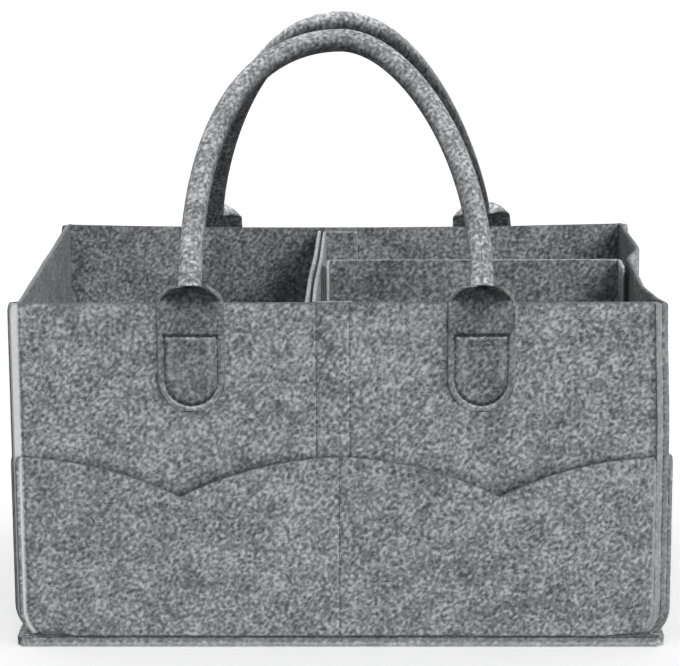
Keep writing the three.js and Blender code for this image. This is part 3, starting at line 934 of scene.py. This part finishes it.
def pocket_surface(wall, places, shares):
    """Middle points of a pocket, at shares of its height."""
    tops = pocket_top(wall, places)
    z = pocket_foot + (tops - pocket_foot) * shares
    rounded = fin_rounded(wall, pocket_middle, places, z, tops)
    x, y = wall.line(pocket_middle, rounded)
    lines = pocket_seams(wall)
    swell = np.abs(np.sin(math.pi * (x - lines[0]) / (lines[1] - lines[0])))
    open_height = pocket_height - pocket_notch - pocket_foot
    rise = np.sin(math.pi / 2 * np.clip((z - pocket_foot) / open_height, 0, 1))
    ripple = wave_depth * slow_wave(x, z, wall.turn + 7) * swell
    y = y + np.where(on_fin(wall, pocket_middle, places), 0, ripple - pocket_gape * swell * rise)
    x, y = cornered(wall, x, y, z)
    return wall.placed(x, y, z)


def add_pocket(wall):
    lines = [0.0] if wall.is_long else []
    notches = (pocket_seams(wall)[1:] + pocket_seams(wall)[:-1]) / 2
    marks = [*lines, *notches]
    places, width_full = fin_layer(wall, pocket_middle, pocket_felt, marks, pocket_step, seam_step)
    reach = pocket_height - pocket_foot
    levels = spread_near(0, reach, pocket_rise, [0, reach], mouth_reach, mouth_step)
    levels = round_ends(levels, pocket_edge)
    across, share = np.meshgrid(places, levels / reach)
    full = fullness(levels, pocket_edge)[:, None] * width_full[None, :]
    relief = shallow_grooves(across, lines)
    middle = pocket_surface(wall, across, share)
    relief = relief + fin_crease(wall, pocket_middle, across)
    # Painted highlight on the front fins, where light catches them
    fin_highlight_share = fin_highlight(wall, pocket_middle, across, pocket_highlight_reach)
    mesh = sheet_mesh(
        f"{wall.side}_pocket_felt", middle, pocket_felt, full, pocket_felt_finish, relief, fin_highlight_share)
    for line in lines:
        seam_shares = spread(0.985, 0.02, 0.04)
        sew_layer(wall, pocket_surface(wall, np.full_like(seam_shares, line), seam_shares), pocket_felt)
    piece = add_piece(f"{wall.side}_pocket_felt", mesh, "caddy", "pocket_felt", f"{wall.side}_pocket")
    return piece


for wall in walls.values():
    pocket = add_pocket(wall)
    light_with(side_lamps[wall.side], pocket, keyed=wall.side != "front")
    print(pocket.name)

# %% [markdown]
# ## Handles
# Each handle is one strip of felt. Its ends are flat, round tabs that are sewn to the wall. Above the
# rim the strip leans inward and rolls up round a cord, until its two edges meet: on the outer side
# of the front handle and on the inner side of the back one. The strip's middle line is a straight
# leg, two curves over the crown and a leg again, drawn on a sheet that bends over the rim. At the neck
# the strip's margins fold over like hems, further in with every step up, until the flat part between
# them is gone and the whole cross-section is a ring. That gives the neck its domed shoulders.

# %% Handle line
handle_felt = 2.4 * MM
tube_diameter = 12 * MM
roll_slit = 0.02 * MM
tab_width = 34 * MM
tab_stitch_inset = 3.7 * MM
rim_bend = 8 * MM
crown_gap = 1.6 * MM
hem_radius = 1.8 * MM
tab_radius = tab_width / 2
tube_radius = (tube_diameter - handle_felt) / 2
rolled_width = 2 * math.pi * tube_radius - roll_slit
tab_low, tab_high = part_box("front_handle_tab_left")
tab_middle = (tab_low.y + tab_high.y) / 2
handle_foot = tab_high.z + layer_gap
bend_start = rim_height + layer_gap - handle_foot
tab_length = handle_foot - tab_low.z

# Rise of the crown, side on which the roll opens, and the neck: its start above the rim, its length,
# how fast its flat part tapers and how late its hems open into the tube.
# Each end: reach from the middle, straight leg, then how far the curve is pulled up and over.
handle_shapes = {
    "front": {
        "rise": 178, "opens": 1, "neck": (-1, 6, 0.35, 2),
        "left": (74.5, 36, 115, 32), "right": (72, 30, 77, 33),
    },
    "back": {
        "rise": 184, "opens": -1, "neck": (-2, 17, 0.42, 4),
        "left": (80, 13, 34, 49), "right": (76.5, 16, 40, 54),
    },
}
line_steps = 160


def bezier(points):
    share = np.linspace(0, 1, line_steps)[:, None]
    rest = 1 - share
    a, b, c, d = (np.asarray(point, float) for point in points)
    return a * rest ** 3 + 3 * b * share * rest ** 2 + 3 * c * share ** 2 * rest + d * share ** 3


def handle_line(shape):
    """The strip's middle line on its sheet, from the foot of one tab to the other, finely stepped."""
    rise = shape["rise"]
    halves = []
    for side, (reach, leg, leg_pull, crown_pull) in ((-1, shape["left"]), (1, shape["right"])):
        x, pulled = side * reach, side * crown_pull
        foot = np.linspace((x, -tab_length / MM), (x, leg), line_steps)[:-1]
        curve = bezier([(x, leg), (x, leg + leg_pull), (pulled, rise), (0, rise)])
        halves.append(np.concatenate([foot, curve]))
    return np.concatenate([halves[0], halves[1][::-1][1:]]) * MM


def leaning_sheet(lean, up):
    """Points and directions of the sheet that the strip lies on, at heights up from the handle's foot."""
    angle = np.clip((up - bend_start) / rim_bend, 0, lean)
    beyond = np.maximum(0, up - bend_start - rim_bend * lean)
    y = tab_middle + rim_bend * (1 - np.cos(angle)) + beyond * math.sin(lean)
    z = handle_foot + np.minimum(up, bend_start) + rim_bend * np.sin(angle) + beyond * math.cos(lean)
    upward = np.stack([0 * angle, np.sin(angle), np.cos(angle)], -1)
    outward = np.stack([0 * angle, -np.cos(angle), np.sin(angle)], -1)
    return y, z, upward, outward


def resting_lean(shape):
    """The lean at which the crown comes to rest beside the other handle's, by halving."""
    low, high = 0.0, math.pi / 2
    for _ in range(40):
        lean = (low + high) / 2
        y, _, _, outward = leaning_sheet(lean, np.array(shape["rise"] * MM))
        inside = y + outward[1] * tube_radius * shape["opens"] < -(tube_diameter + crown_gap) / 2
        low, high = (lean, high) if inside else (low, lean)
    return low


def handle_stations(shape, distances):
    """Points on the strip's middle line at distances along it, with the directions across and out."""
    line = handle_line(shape)
    along = arc_lengths(line)
    flat = np.stack([np.interp(distances, along, line[:, i]) for i in range(2)], -1)
    heading = np.gradient(flat, axis=0)
    heading /= np.linalg.norm(heading, axis=1, keepdims=True)
    y, z, upward, outward = leaning_sheet(resting_lean(shape), flat[:, 1])
    across = -heading[:, :1] * upward
    across[:, 0] = heading[:, 1]
    return np.stack([flat[:, 0], y, z], -1), across, outward


def neck_ends(shape):
    """Distances from a strip's end where its roll begins and where it is closed."""
    start = tab_length + bend_start + shape["neck"][0] * MM
    return start, start + shape["neck"][1] * MM


def neck_shape(shape, from_end):
    """How far the roll has closed, the half width that is still flat, and the bend of its margins."""
    start, end = neck_ends(shape)
    closed = np.clip((from_end - start) / (end - start), 0, 1)
    _, _, taper, spring = shape["neck"]
    flat_half = tab_radius * (1 - closed) ** taper
    return closed, flat_half, hem_radius + (tube_radius - hem_radius) * closed ** spring


def handle_length(shape):
    return float(arc_lengths(handle_line(shape))[-1])


def on_side(points, side):
    """Points of the front handle's drawing, or turned half round for the back handle."""
    sign = 1 if side == "front" else -1
    return points * np.array([sign, sign, 1])


for side, shape in handle_shapes.items():
    print(side, "handle's strip in mm", round(handle_length(shape) / MM))

# %% Handle strips
handle_edge = 0.8 * MM
# Strength of the painted highlight on the tab margins
tab_highlight = 0.16
tab_margin = (0.9 * MM, 2.2 * MM)
tab_step, neck_step, tube_step = 0.55 * MM, 0.3 * MM, 2.5 * MM
column_step = 0.022
tab_round, roll_round = 0.05, 0.003
groove_past_tab = 3 * MM
tab_inset = tab_radius - tab_stitch_inset
tab_seam_top = tab_length - layer_gap


def tab_groove(x, height):
    """The seam on a tab: down both sides and round the bottom, and straight across its top."""
    beside, above = np.abs(x) - tab_inset, height - tab_seam_top
    from_corner = np.hypot(beside, above)
    round_part = np.abs(np.hypot(x, height - tab_radius) - tab_inset)
    sides = np.where(height > tab_radius, np.abs(beside), round_part)
    sides = np.where(above > 0, from_corner, sides)
    cross = np.where(beside < 0, np.abs(above), from_corner)
    return np.minimum(sides, cross)


def tab_seam(x_middle, side):
    """Stitches of one tab, round its edge and across its top."""
    corners = [(-tab_inset, tab_seam_top), (tab_inset, tab_seam_top)]
    angles = np.linspace(math.pi, 2 * math.pi, 24)
    round_part = zip(tab_inset * np.cos(angles), tab_radius + tab_inset * np.sin(angles))
    face = tab_middle - handle_felt / 2 + groove_depth - thread_radius / 2
    for line in ([corners[0], *round_part, corners[1]], corners):
        x, height = np.array(line).T
        points = np.stack([x + x_middle, np.full_like(x, face), tab_low.z + height], -1)
        add_seam("tab", on_side(points, side))


def strip_distances(shape):
    """Steps along a handle's strip: fine on the tabs, finer on the necks and wide along the tube."""
    length = handle_length(shape)
    tab = round_ends(spread(0, 2 * tab_length, tab_step), handle_edge)
    tab = np.concatenate([tab[tab < tab_length], spread(tab_length, neck_ends(shape)[1], neck_step)])
    tube = spread(tab[-1], length - tab[-1], tube_step)[1:-1]
    return np.concatenate([tab[1:], tube, length - tab[:0:-1]])


def handle_grid(shape):
    """Middle points of a handle's strip, its share of thickness, its relief and its painted highlight on the
    tab margins.
    """
    distances = strip_distances(shape)
    from_end = np.minimum(distances, handle_length(shape) - distances)[:, None]
    middle, across, outward = (values[:, None] for values in handle_stations(shape, distances))
    rolled, flat_half, bend = neck_shape(shape, from_end)
    into_round = np.maximum(0, tab_radius - from_end)
    width = tab_width + (rolled_width - tab_width) * rolled
    round_width = 2 * np.sqrt(np.maximum(0, tab_radius ** 2 - into_round ** 2))
    width = np.where(into_round > 0, round_width, width)
    columns = round_ends(spread(-1, 1, column_step), tab_round)
    places = width / 2 * columns
    folded = np.maximum(0, np.abs(places) - flat_half)
    turned = np.minimum(folded / bend, math.pi)
    past_turn = np.maximum(0, folded - math.pi * bend)
    flat_part = np.minimum(np.abs(places), flat_half)
    sideways = np.sign(places) * (flat_part + bend * np.sin(turned) - past_turn)
    raised = bend * (1 - np.cos(turned)) * shape["opens"]
    points = middle + across * sideways[..., None] + outward * raised[..., None]
    edge = tab_round + (roll_round - tab_round) * rolled
    ends = rounded_off((from_end - from_end.min()) / handle_edge)
    full = ends * rounded_off((1 - np.abs(columns)) / edge)
    from_seam = tab_groove(places, from_end)
    relief = np.where(from_end < tab_length + groove_past_tab, groove(from_seam, groove_depth), 0)
    # Painted highlight: the tab's margins outside its seam are lightened as if lit
    margin = smooth_step(*tab_margin, from_seam) * (np.abs(places) > tab_radius / 2)
    round_margin = np.hypot(places, from_end - tab_radius) > tab_inset
    highlight_share = tab_highlight * np.where(from_end < tab_radius, round_margin, margin) * (from_end < tab_length)
    return points, full, relief, highlight_share


def add_handle(side):
    shape = handle_shapes[side]
    points, full, relief, highlight_share = handle_grid(shape)
    points = on_side(points, side)
    mesh = sheet_mesh(f"{side}_handle_felt", points, handle_felt, full, handle_felt_finish, relief, highlight_share)
    nodes = [f"{side}_handle", f"{side}_handle_tab_left", f"{side}_handle_tab_right"]
    piece = add_piece(f"{side}_handle_felt", mesh, None, "handle_felt", *nodes)
    y = tab_middle if side == "front" else -tab_middle
    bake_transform(piece)
    handle_length(shape)
    for reach in (-shape["left"][0], shape["right"][0]):
        tab_seam(reach * MM, side)
    return piece


for side in handle_shapes:
    handle = add_handle(side)
    light_with(f"{side}_handle_light", handle)
    if side == "back":
        light_with(side_lamps[side], handle, keyed=True)
    print(handle.name, len(handle.data.polygons), "faces")

# %% [markdown]
# ## Filler cords
# A cord lies in each roll and keeps it round. Three soft strands twist round each other, which a
# cross-section with three lobes gives when it turns along the way.

# %% Filler cords
core_clearance = 0.5 * MM
core_radius = tube_radius - handle_felt / 2 - core_clearance
core_sides = 24
cord_inset = 6 * MM
strand_twist = 2 * math.pi / (26 * MM)
lobe_depth = 0.14
blunt_end = 0.98


def add_core(side):
    shape = handle_shapes[side]
    length = handle_length(shape)
    end = neck_ends(shape)[1] + cord_inset
    distances = spread(end, length - end, 2 * MM)
    middle, across, outward = handle_stations(shape, distances)
    axis = middle + outward * tube_radius * shape["opens"]
    angle = np.linspace(0, 2 * math.pi, core_sides, endpoint=False)
    lobe = np.abs(np.cos(1.5 * (angle - strand_twist * distances[:, None])))
    from_end = np.minimum(distances - end, length - end - distances)
    ends = np.sqrt(1 - np.clip(1 - from_end / core_radius, 0, blunt_end) ** 2)
    radius = core_radius * (1 - lobe_depth + lobe_depth * lobe) * ends[:, None]
    sideways, raised = ((radius * wave)[..., None] for wave in (np.cos(angle), np.sin(angle)))
    points = axis[:, None] + across[:, None] * sideways + outward[:, None] * raised
    points = on_side(points, side).reshape(-1, 3)
    rings = np.arange(len(distances) * core_sides).reshape(-1, core_sides)
    near, far = rings[:-1], rings[1:]
    faces = np.stack([near, np.roll(near, -1, 1), np.roll(far, -1, 1), far], -1).reshape(-1, 4)
    mesh = plain_mesh(f"{side}_core", points, faces, cord_finish)
    shell = bmesh.new()
    shell.from_mesh(mesh)
    bmesh.ops.holes_fill(shell, edges=[edge for edge in shell.edges if edge.is_boundary], sides=0)
    bmesh.ops.recalc_face_normals(shell, faces=shell.faces)
    shell.to_mesh(mesh)
    shell.free()
    return add_piece(f"{side}_handle_cord", mesh, f"{side}_handle", "core_cord", f"{side}_handle_core")


for side in handle_shapes:
    print(add_core(side).name)

# %% [markdown]
# ## Dividers
# A divider stands across the box and is folded at its ends, where flaps carry the tapes. Its plan is
# a line with round folds, drawn upward with a slight bow. The cross divider's two sheets part at the
# top, most at the front, and its front end stands a little higher than its back end.

# %% Dividers
divider_edge = 0.8 * MM
divider_fold = 2.6 * MM
divider_bow = 0.4 * MM
divider_step, divider_rise = 3 * MM, 3 * MM
bow_clear, bow_fade = 12 * MM, 50 * MM
# Strength of the painted highlight on the flaps' cut edges
flap_highlight = 0.9
cross_tilt = 1.5 * MM
# How far each of the cross divider's sheets stands to the right at its back end and at its front end
left_parting = (-0.4 * MM, -2.1 * MM)
right_parting = (0.4 * MM, -0.7 * MM)


def straight_line(start, end, step):
    """Points about a step apart on a straight line."""
    start, end = np.asarray(start, float), np.asarray(end, float)
    count = max(2, round(np.linalg.norm(end - start) / step))
    return start + (end - start) * np.linspace(0, 1, count)[:, None]


def folded_line(corners, radius, step):
    """Points along a line with round folds at its inner corners."""
    corners = [np.asarray(corner, float) for corner in corners]
    pieces, start = [], corners[0]
    for before, corner, following in zip(corners, corners[1:], corners[2:]):
        into = (corner - before) / np.linalg.norm(corner - before)
        out = (following - corner) / np.linalg.norm(following - corner)
        first, last = corner - into * radius, corner + out * radius
        turn = np.linspace(0, math.pi / 2, 9)[:, None]
        centre = first + out * radius
        pieces.append(straight_line(start, first, step))
        pieces.append((centre - out * radius * np.cos(turn) + into * radius * np.sin(turn))[1:-1])
        start = last
    pieces.append(straight_line(start, corners[-1], step))
    return np.concatenate(pieces)


def cross_shift(back_part, front_part, y, z):
    """How far a cross divider's sheet stands to the right, and higher, than its straight place."""
    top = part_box("cross_divider_right_sheet")[1]
    share = np.clip((y + top.y) / (2 * top.y), 0, 1)
    part = front_part + (back_part - front_part) * share
    rise = cross_tilt * (1 - 2 * share)
    return part * smooth_step(0.3 * top.z, top.z, z), rise * smooth_step(0.5 * top.z, top.z, z)


def add_divider(name, body, node, plan, bow_axis, phase, parts=None):
    """A sheet drawn upward from its plan, in the place of its node."""
    low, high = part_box(node)
    along = arc_lengths(plan)
    places = round_ends(along, divider_edge)
    line = np.stack([np.interp(places, along, plan[:, i]) for i in range(2)], -1)
    heights = spread_near(low.z, high.z, divider_rise, [high.z], 6 * MM, rim_step)
    heights = round_ends(heights, divider_edge)
    middle = np.empty((len(heights), len(places), 3))
    middle[..., :2] = line
    middle[..., 2] = heights[:, None]
    from_end = np.minimum(places - places[0], places[-1] - places)
    free = smooth_step(bow_clear, bow_clear + bow_fade, from_end)
    middle[..., bow_axis] += divider_bow * free * slow_wave(places * 0.6, heights[:, None], phase)
    if parts:
        right, up = cross_shift(*parts, middle[..., 1], middle[..., 2])
        middle[..., 0] += right
        middle[..., 2] += up
    full = fullness(heights, divider_edge)[:, None] * fullness(places, divider_edge)[None, :]
    # Painted highlight on the cut edges at both ends of the sheet, where the flaps' edges catch the light
    highlight_share = flap_highlight * cut_share(fullness(places, divider_edge))
    mesh = sheet_mesh(f"{node}_felt", middle, divider_felt, full, divider_felt_finish, highlight_share=highlight_share[None, :])
    piece = add_piece(name, mesh, body, "divider_felt", node)
    for lamp in ("back_light", "divider_light"):
        light_with(lamp, piece, keyed=True)
    return piece


low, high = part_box("cross_divider_left_sheet")
left_x = (low.x + high.x) / 2
left_plan = np.stack([np.full(60, left_x), np.linspace(low.y, high.y, 60)], -1)
add_divider("cross_divider_left_felt", "cross_divider", "cross_divider_left_sheet", left_plan,
            0, 2.0, left_parting)

low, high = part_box("cross_divider_right_sheet")
half_felt = divider_felt / 2
cross_plan = folded_line([
    (high.x, low.y + half_felt), (low.x + half_felt, low.y + half_felt),
    (low.x + half_felt, high.y - half_felt), (high.x, high.y - half_felt),
], divider_fold, divider_step)
add_divider("cross_divider_right_felt", "cross_divider", "cross_divider_right_sheet", cross_plan,
            0, 2.0, right_parting)

low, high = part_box("long_divider")
long_plan = folded_line([
    (low.x + half_felt, low.y), (low.x + half_felt, high.y - half_felt),
    (high.x - half_felt, high.y - half_felt), (high.x - half_felt, low.y),
], divider_fold, divider_step)
add_divider("long_divider_felt", "long_divider", "long_divider", long_plan, 1, 4.0)
print("long divider's cut in mm", round(float(arc_lengths(long_plan)[-1]) / MM))

# %% [markdown]
# ## Geometry Nodes for what repeats
# Hooks, loops and stitches are each one small shape repeated hundreds of times, so they are made by
# node trees. A tree gets its sizes as named inputs, and its result is turned into a plain mesh.

# %% Geometry Nodes helpers
def new_tree(name, inputs):
    """An empty Geometry Nodes tree with named inputs, and its graph."""
    tree = bpy.data.node_groups.new(name, "GeometryNodeTree")
    tree.interface.new_socket("Geometry", in_out="INPUT", socket_type="NodeSocketGeometry")
    for label, kind in inputs.items():
        tree.interface.new_socket(label, in_out="INPUT", socket_type=kind)
    tree.interface.new_socket("Geometry", in_out="OUTPUT", socket_type="NodeSocketGeometry")
    return tree, Graph(tree)


def finish_tree(graph, given, instances):
    """Ends a tree: the instances become plain faces with their material."""
    plain = graph.node("GeometryNodeRealizeInstances", None, {"Geometry": instances})
    inputs = {"Geometry": plain.outputs[0], "Material": given["Material"]}
    coloured = graph.node("GeometryNodeSetMaterial", None, inputs)
    graph.node("NodeGroupOutput", None, {0: coloured.outputs[0]})


def grown(name, data, tree, values):
    """The plain mesh that a tree makes from an object's data."""
    holder = bpy.data.objects.new(name, data)
    bpy.context.scene.collection.objects.link(holder)
    modifier = holder.modifiers.new(name, "NODES")
    modifier.node_group = tree
    for item in tree.interface.items_tree:
        if item.in_out == "INPUT" and item.name in values:
            modifier[item.identifier] = values[item.name]
    depsgraph = bpy.context.evaluated_depsgraph_get()
    mesh = bpy.data.meshes.new_from_object(holder.evaluated_get(depsgraph))
    bpy.data.objects.remove(holder)
    mesh.name = name
    mesh.shade_smooth()
    return mesh


# %% [markdown]
# ## Hook and loop tapes
# The loop tape is a band with a pile of tiny loops, and the hook tape a band with rows of bent
# hooks. One tree makes both: it sets a bent strand on every point of a grid, turned at random for
# the loops and kept in rows for the hooks.

# %% Tape tree
strand_inputs = {
    "Width": "NodeSocketFloat", "Length": "NodeSocketFloat",
    "Columns": "NodeSocketInt", "Rows": "NodeSocketInt",
    "Reach": "NodeSocketFloat", "Height": "NodeSocketFloat", "End Height": "NodeSocketFloat",
    "Strand": "NodeSocketFloat", "Turning": "NodeSocketFloat", "Seed": "NodeSocketInt",
    "Material": "NodeSocketMaterial",
}
strand_tree, graph = new_tree("bent_strands", strand_inputs)
given = graph.node("NodeGroupInput").outputs
grid = graph.node("GeometryNodeMeshGrid", None, {
    "Size X": given["Width"], "Size Y": given["Length"],
    "Vertices X": given["Columns"], "Vertices Y": given["Rows"],
}).outputs["Mesh"]
top = graph.node("ShaderNodeCombineXYZ", None, {"Z": given["Height"]})
tip = graph.node("ShaderNodeCombineXYZ", None, {"X": given["Reach"], "Z": given["End Height"]})
bent = graph.node("GeometryNodeCurveQuadraticBezier", None, {
    "Resolution": 4, "Start": (0, 0, 0), "Middle": top.outputs[0], "End": tip.outputs[0],
}).outputs[0]
section = graph.node("GeometryNodeCurvePrimitiveCircle", None, {
    "Resolution": 5, "Radius": given["Strand"],
}).outputs[0]
strand = graph.node("GeometryNodeCurveToMesh", None, {
    "Curve": bent, "Profile Curve": section, "Fill Caps": True,
})
angle = graph.node("FunctionNodeRandomValue", {"data_type": "FLOAT"}, {
    "Min": 0.0, "Max": given["Turning"], "Seed": given["Seed"],
})
turned = graph.node("ShaderNodeCombineXYZ", None, {"Z": next(s for s in angle.outputs if s.enabled)})
placed = graph.node("GeometryNodeInstanceOnPoints", None, {
    "Points": grid, "Instance": strand.outputs[0], "Rotation": turned.outputs[0],
})
finish_tree(graph, given, placed.outputs[0])

# %% Tapes
band_felt = 0.5 * MM
band_root = 0.8 * band_felt
strand_radius = 0.1 * MM
hook_end = 0.1 * MM
hook_reach = 0.55 * MM
loop_reach = 1.0 * MM
hook_pitch = 1.55 * MM
strand_margin = 0.6 * MM

# Which way each tape's working side looks along its thin axis
facing = {
    "front_loop_strip": 1, "back_loop_strip": -1, "right_loop_strip": -1, "cross_divider_loop_strip": 1,
    "cross_divider_front_hook_strip": -1, "cross_divider_back_hook_strip": 1,
    "long_divider_left_hook_strip": -1, "long_divider_right_hook_strip": 1,
}


def add_tape(node, body, kind, seed):
    """A tape in the place of its node. Its working side faces away from what carries it."""
    low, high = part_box(node)
    thin = 0 if high.x - low.x < high.y - low.y else 1
    wide = 1 - thin
    depth = high[thin] - low[thin]
    outward = facing[node]
    back = low[thin] if outward > 0 else high[thin]
    centre = (low + high) / 2
    width, length = high[wide] - low[wide], high.z - low.z
    across = round_ends(spread(-width / 2, width / 2, 1.2 * MM), band_felt / 2)
    upward = round_ends(spread(-length / 2, length / 2, 2.5 * MM), band_felt / 2)
    middle = np.zeros((len(upward), len(across), 3))
    middle[..., 0] = across
    middle[..., 1] = upward[:, None]
    middle[..., 2] = band_felt / 2
    full = fullness(upward, band_felt / 2)[:, None] * fullness(across, band_felt / 2)[None, :]
    finish = loop_finish if kind == "loop_tape" else hook_finish
    band = sheet_mesh(node, middle, band_felt, full, finish)
    tall = depth - band_root - strand_radius
    inside = (width - 2 * strand_margin, length - 2 * strand_margin)
    values = {
        "Width": inside[0], "Length": inside[1],
        "Columns": round(inside[0] / hook_pitch) + 1, "Rows": round(inside[1] / hook_pitch) + 1,
        "Reach": hook_reach, "Height": tall + math.sqrt(tall * (tall - hook_end)), "End Height": hook_end,
        "Strand": strand_radius, "Turning": 0.0, "Seed": seed, "Material": finish,
    }
    if kind == "loop_tape":
        values.update({"Reach": loop_reach, "Height": 2 * tall, "End Height": 0.0, "Turning": 2 * math.pi})
    strands = grown(node, bpy.data.meshes.new(node), strand_tree, values)
    strands.transform(Matrix.Translation((0, 0, band_root)))
    mesh = joined(f"{node}_tape", band, strands)
    axes = [Vector(), Vector((0, 0, 1)), Vector()]
    axes[2][thin] = outward
    axes[0] = axes[1].cross(axes[2])
    turn = Matrix(axes).transposed().to_4x4()
    centre[thin] = back
    mesh.transform(Matrix.Translation(centre) @ turn)
    return add_piece(f"{node}_tape", mesh, body, kind, node)


for seed, node in enumerate(facing):
    body = next((name for name in ("cross_divider", "long_divider") if node.startswith(name)), "caddy")
    tape = add_tape(node, body, "hook_tape" if "hook" in node else "loop_tape", seed)
    print(tape.name, len(tape.data.polygons), "faces")

# %% [markdown]
# ## Stitches
# The seams that were kept on the way become rows of stitches: a thread shows as one short, plump
# dash after another, each sinking into the felt at both ends. The tree walks along every seam in
# even steps, sets a slim ellipsoid at each and turns it along the seam.

# %% Seams along the foot
crease_out, crease_up = 0.7 * MM, 0.1 * MM


def add_foot_seam(wall):
    """The bottom seam in the crease above a wall's flange."""
    start, end = wall.straight(pocket_middle)
    x = spread(start + corner_tuck, end - corner_tuck, 6 * MM)
    crease = -(wall.half_depth + panel_felt + layer_gap + pocket_felt + crease_out)
    add_seam("tab", wall.placed(x, np.full_like(x, crease), np.full_like(x, flange_top + crease_up)))


for wall in walls.values():
    add_foot_seam(wall)

# %% Divider seams
flap_inset = 1.5 * MM


def add_flap_seams(body, node, thin, inner_face):
    """The two rows of stitches that hold a tape, on the bare side of its flap."""
    low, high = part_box(node)
    wide = 1 - thin
    heights = spread(low.z + flap_inset, high.z - flap_inset, 6 * MM)
    for place in (low[wide] + flap_inset, high[wide] - flap_inset):
        points = np.zeros((len(heights), 3))
        points[:, thin] = inner_face
        points[:, wide] = place
        points[:, 2] = heights
        add_seam(body, points)


low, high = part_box("cross_divider_right_sheet")
add_flap_seams("cross_divider", "cross_divider_front_hook_strip", 1, low.y + divider_felt)
add_flap_seams("cross_divider", "cross_divider_back_hook_strip", 1, high.y - divider_felt)
low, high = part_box("long_divider")
add_flap_seams("long_divider", "long_divider_left_hook_strip", 0, low.x + divider_felt)
add_flap_seams("long_divider", "long_divider_right_hook_strip", 0, high.x - divider_felt)
print("seams", {kind: len(lines) for kind, lines in seams.items()})

# %% Stitch tree
stitch_pitch = 3.3 * MM
stitch_length = 2.9 * MM
stitch_inputs = {
    "Pitch": "NodeSocketFloat", "Length": "NodeSocketFloat", "Radius": "NodeSocketFloat",
    "Material": "NodeSocketMaterial",
}
stitch_tree, graph = new_tree("stitches", stitch_inputs)
given = graph.node("NodeGroupInput").outputs
walked = graph.node("GeometryNodeCurveToPoints", {"mode": "LENGTH"}, {
    "Curve": given["Geometry"], "Length": given["Pitch"],
})
dash = graph.node("GeometryNodeMeshUVSphere", None, {
    "Segments": 8, "Rings": 6, "Radius": 0.5,
}).outputs["Mesh"]
thick = graph.node("ShaderNodeMath", {"operation": "MULTIPLY"}, {0: given["Radius"], 1: 2.0}).outputs[0]
size = graph.node("ShaderNodeCombineXYZ", None, {"X": thick, "Y": thick, "Z": given["Length"]})
along = graph.node("FunctionNodeAlignRotationToVector", {"axis": "Z"}, {"Vector": walked.outputs["Tangent"]})
stitched = graph.node("GeometryNodeInstanceOnPoints", None, {
    "Points": walked.outputs["Points"], "Instance": dash,
    "Rotation": along.outputs[0], "Scale": size.outputs[0],
})
finish_tree(graph, given, stitched.outputs[0])


def seam_curve(name, lines):
    """A curve with one straight-stepped spline for each seam."""
    data = bpy.data.curves.new(name, "CURVE")
    data.dimensions = "3D"
    for line in lines:
        spline = data.splines.new("POLY")
        spline.points.add(len(line) - 1)
        spline.points.foreach_set("co", np.column_stack([line, np.ones(len(line))]).ravel())
    return data


# %% Stitches
stitch_rows = {
    "tab": ("caddy", "body_felt", thread_radius, thread_finish),
    "wall": ("caddy", "body_felt", fine_thread_radius, grey_thread_finish),
    "cross_divider": ("cross_divider", "divider_felt", thread_radius, pale_thread_finish),
    "long_divider": ("long_divider", "divider_felt", thread_radius, pale_thread_finish),
}
for kind, (body, slot, radius, finish) in stitch_rows.items():
    values = {"Pitch": stitch_pitch, "Length": stitch_length, "Radius": radius, "Material": finish}
    mesh = grown(f"{kind}_stitches", seam_curve(kind, seams[kind]), stitch_tree, values)
    piece = add_piece(f"{kind}_stitches", mesh, body, slot)
    print(piece.name, len(mesh.polygons), "faces")
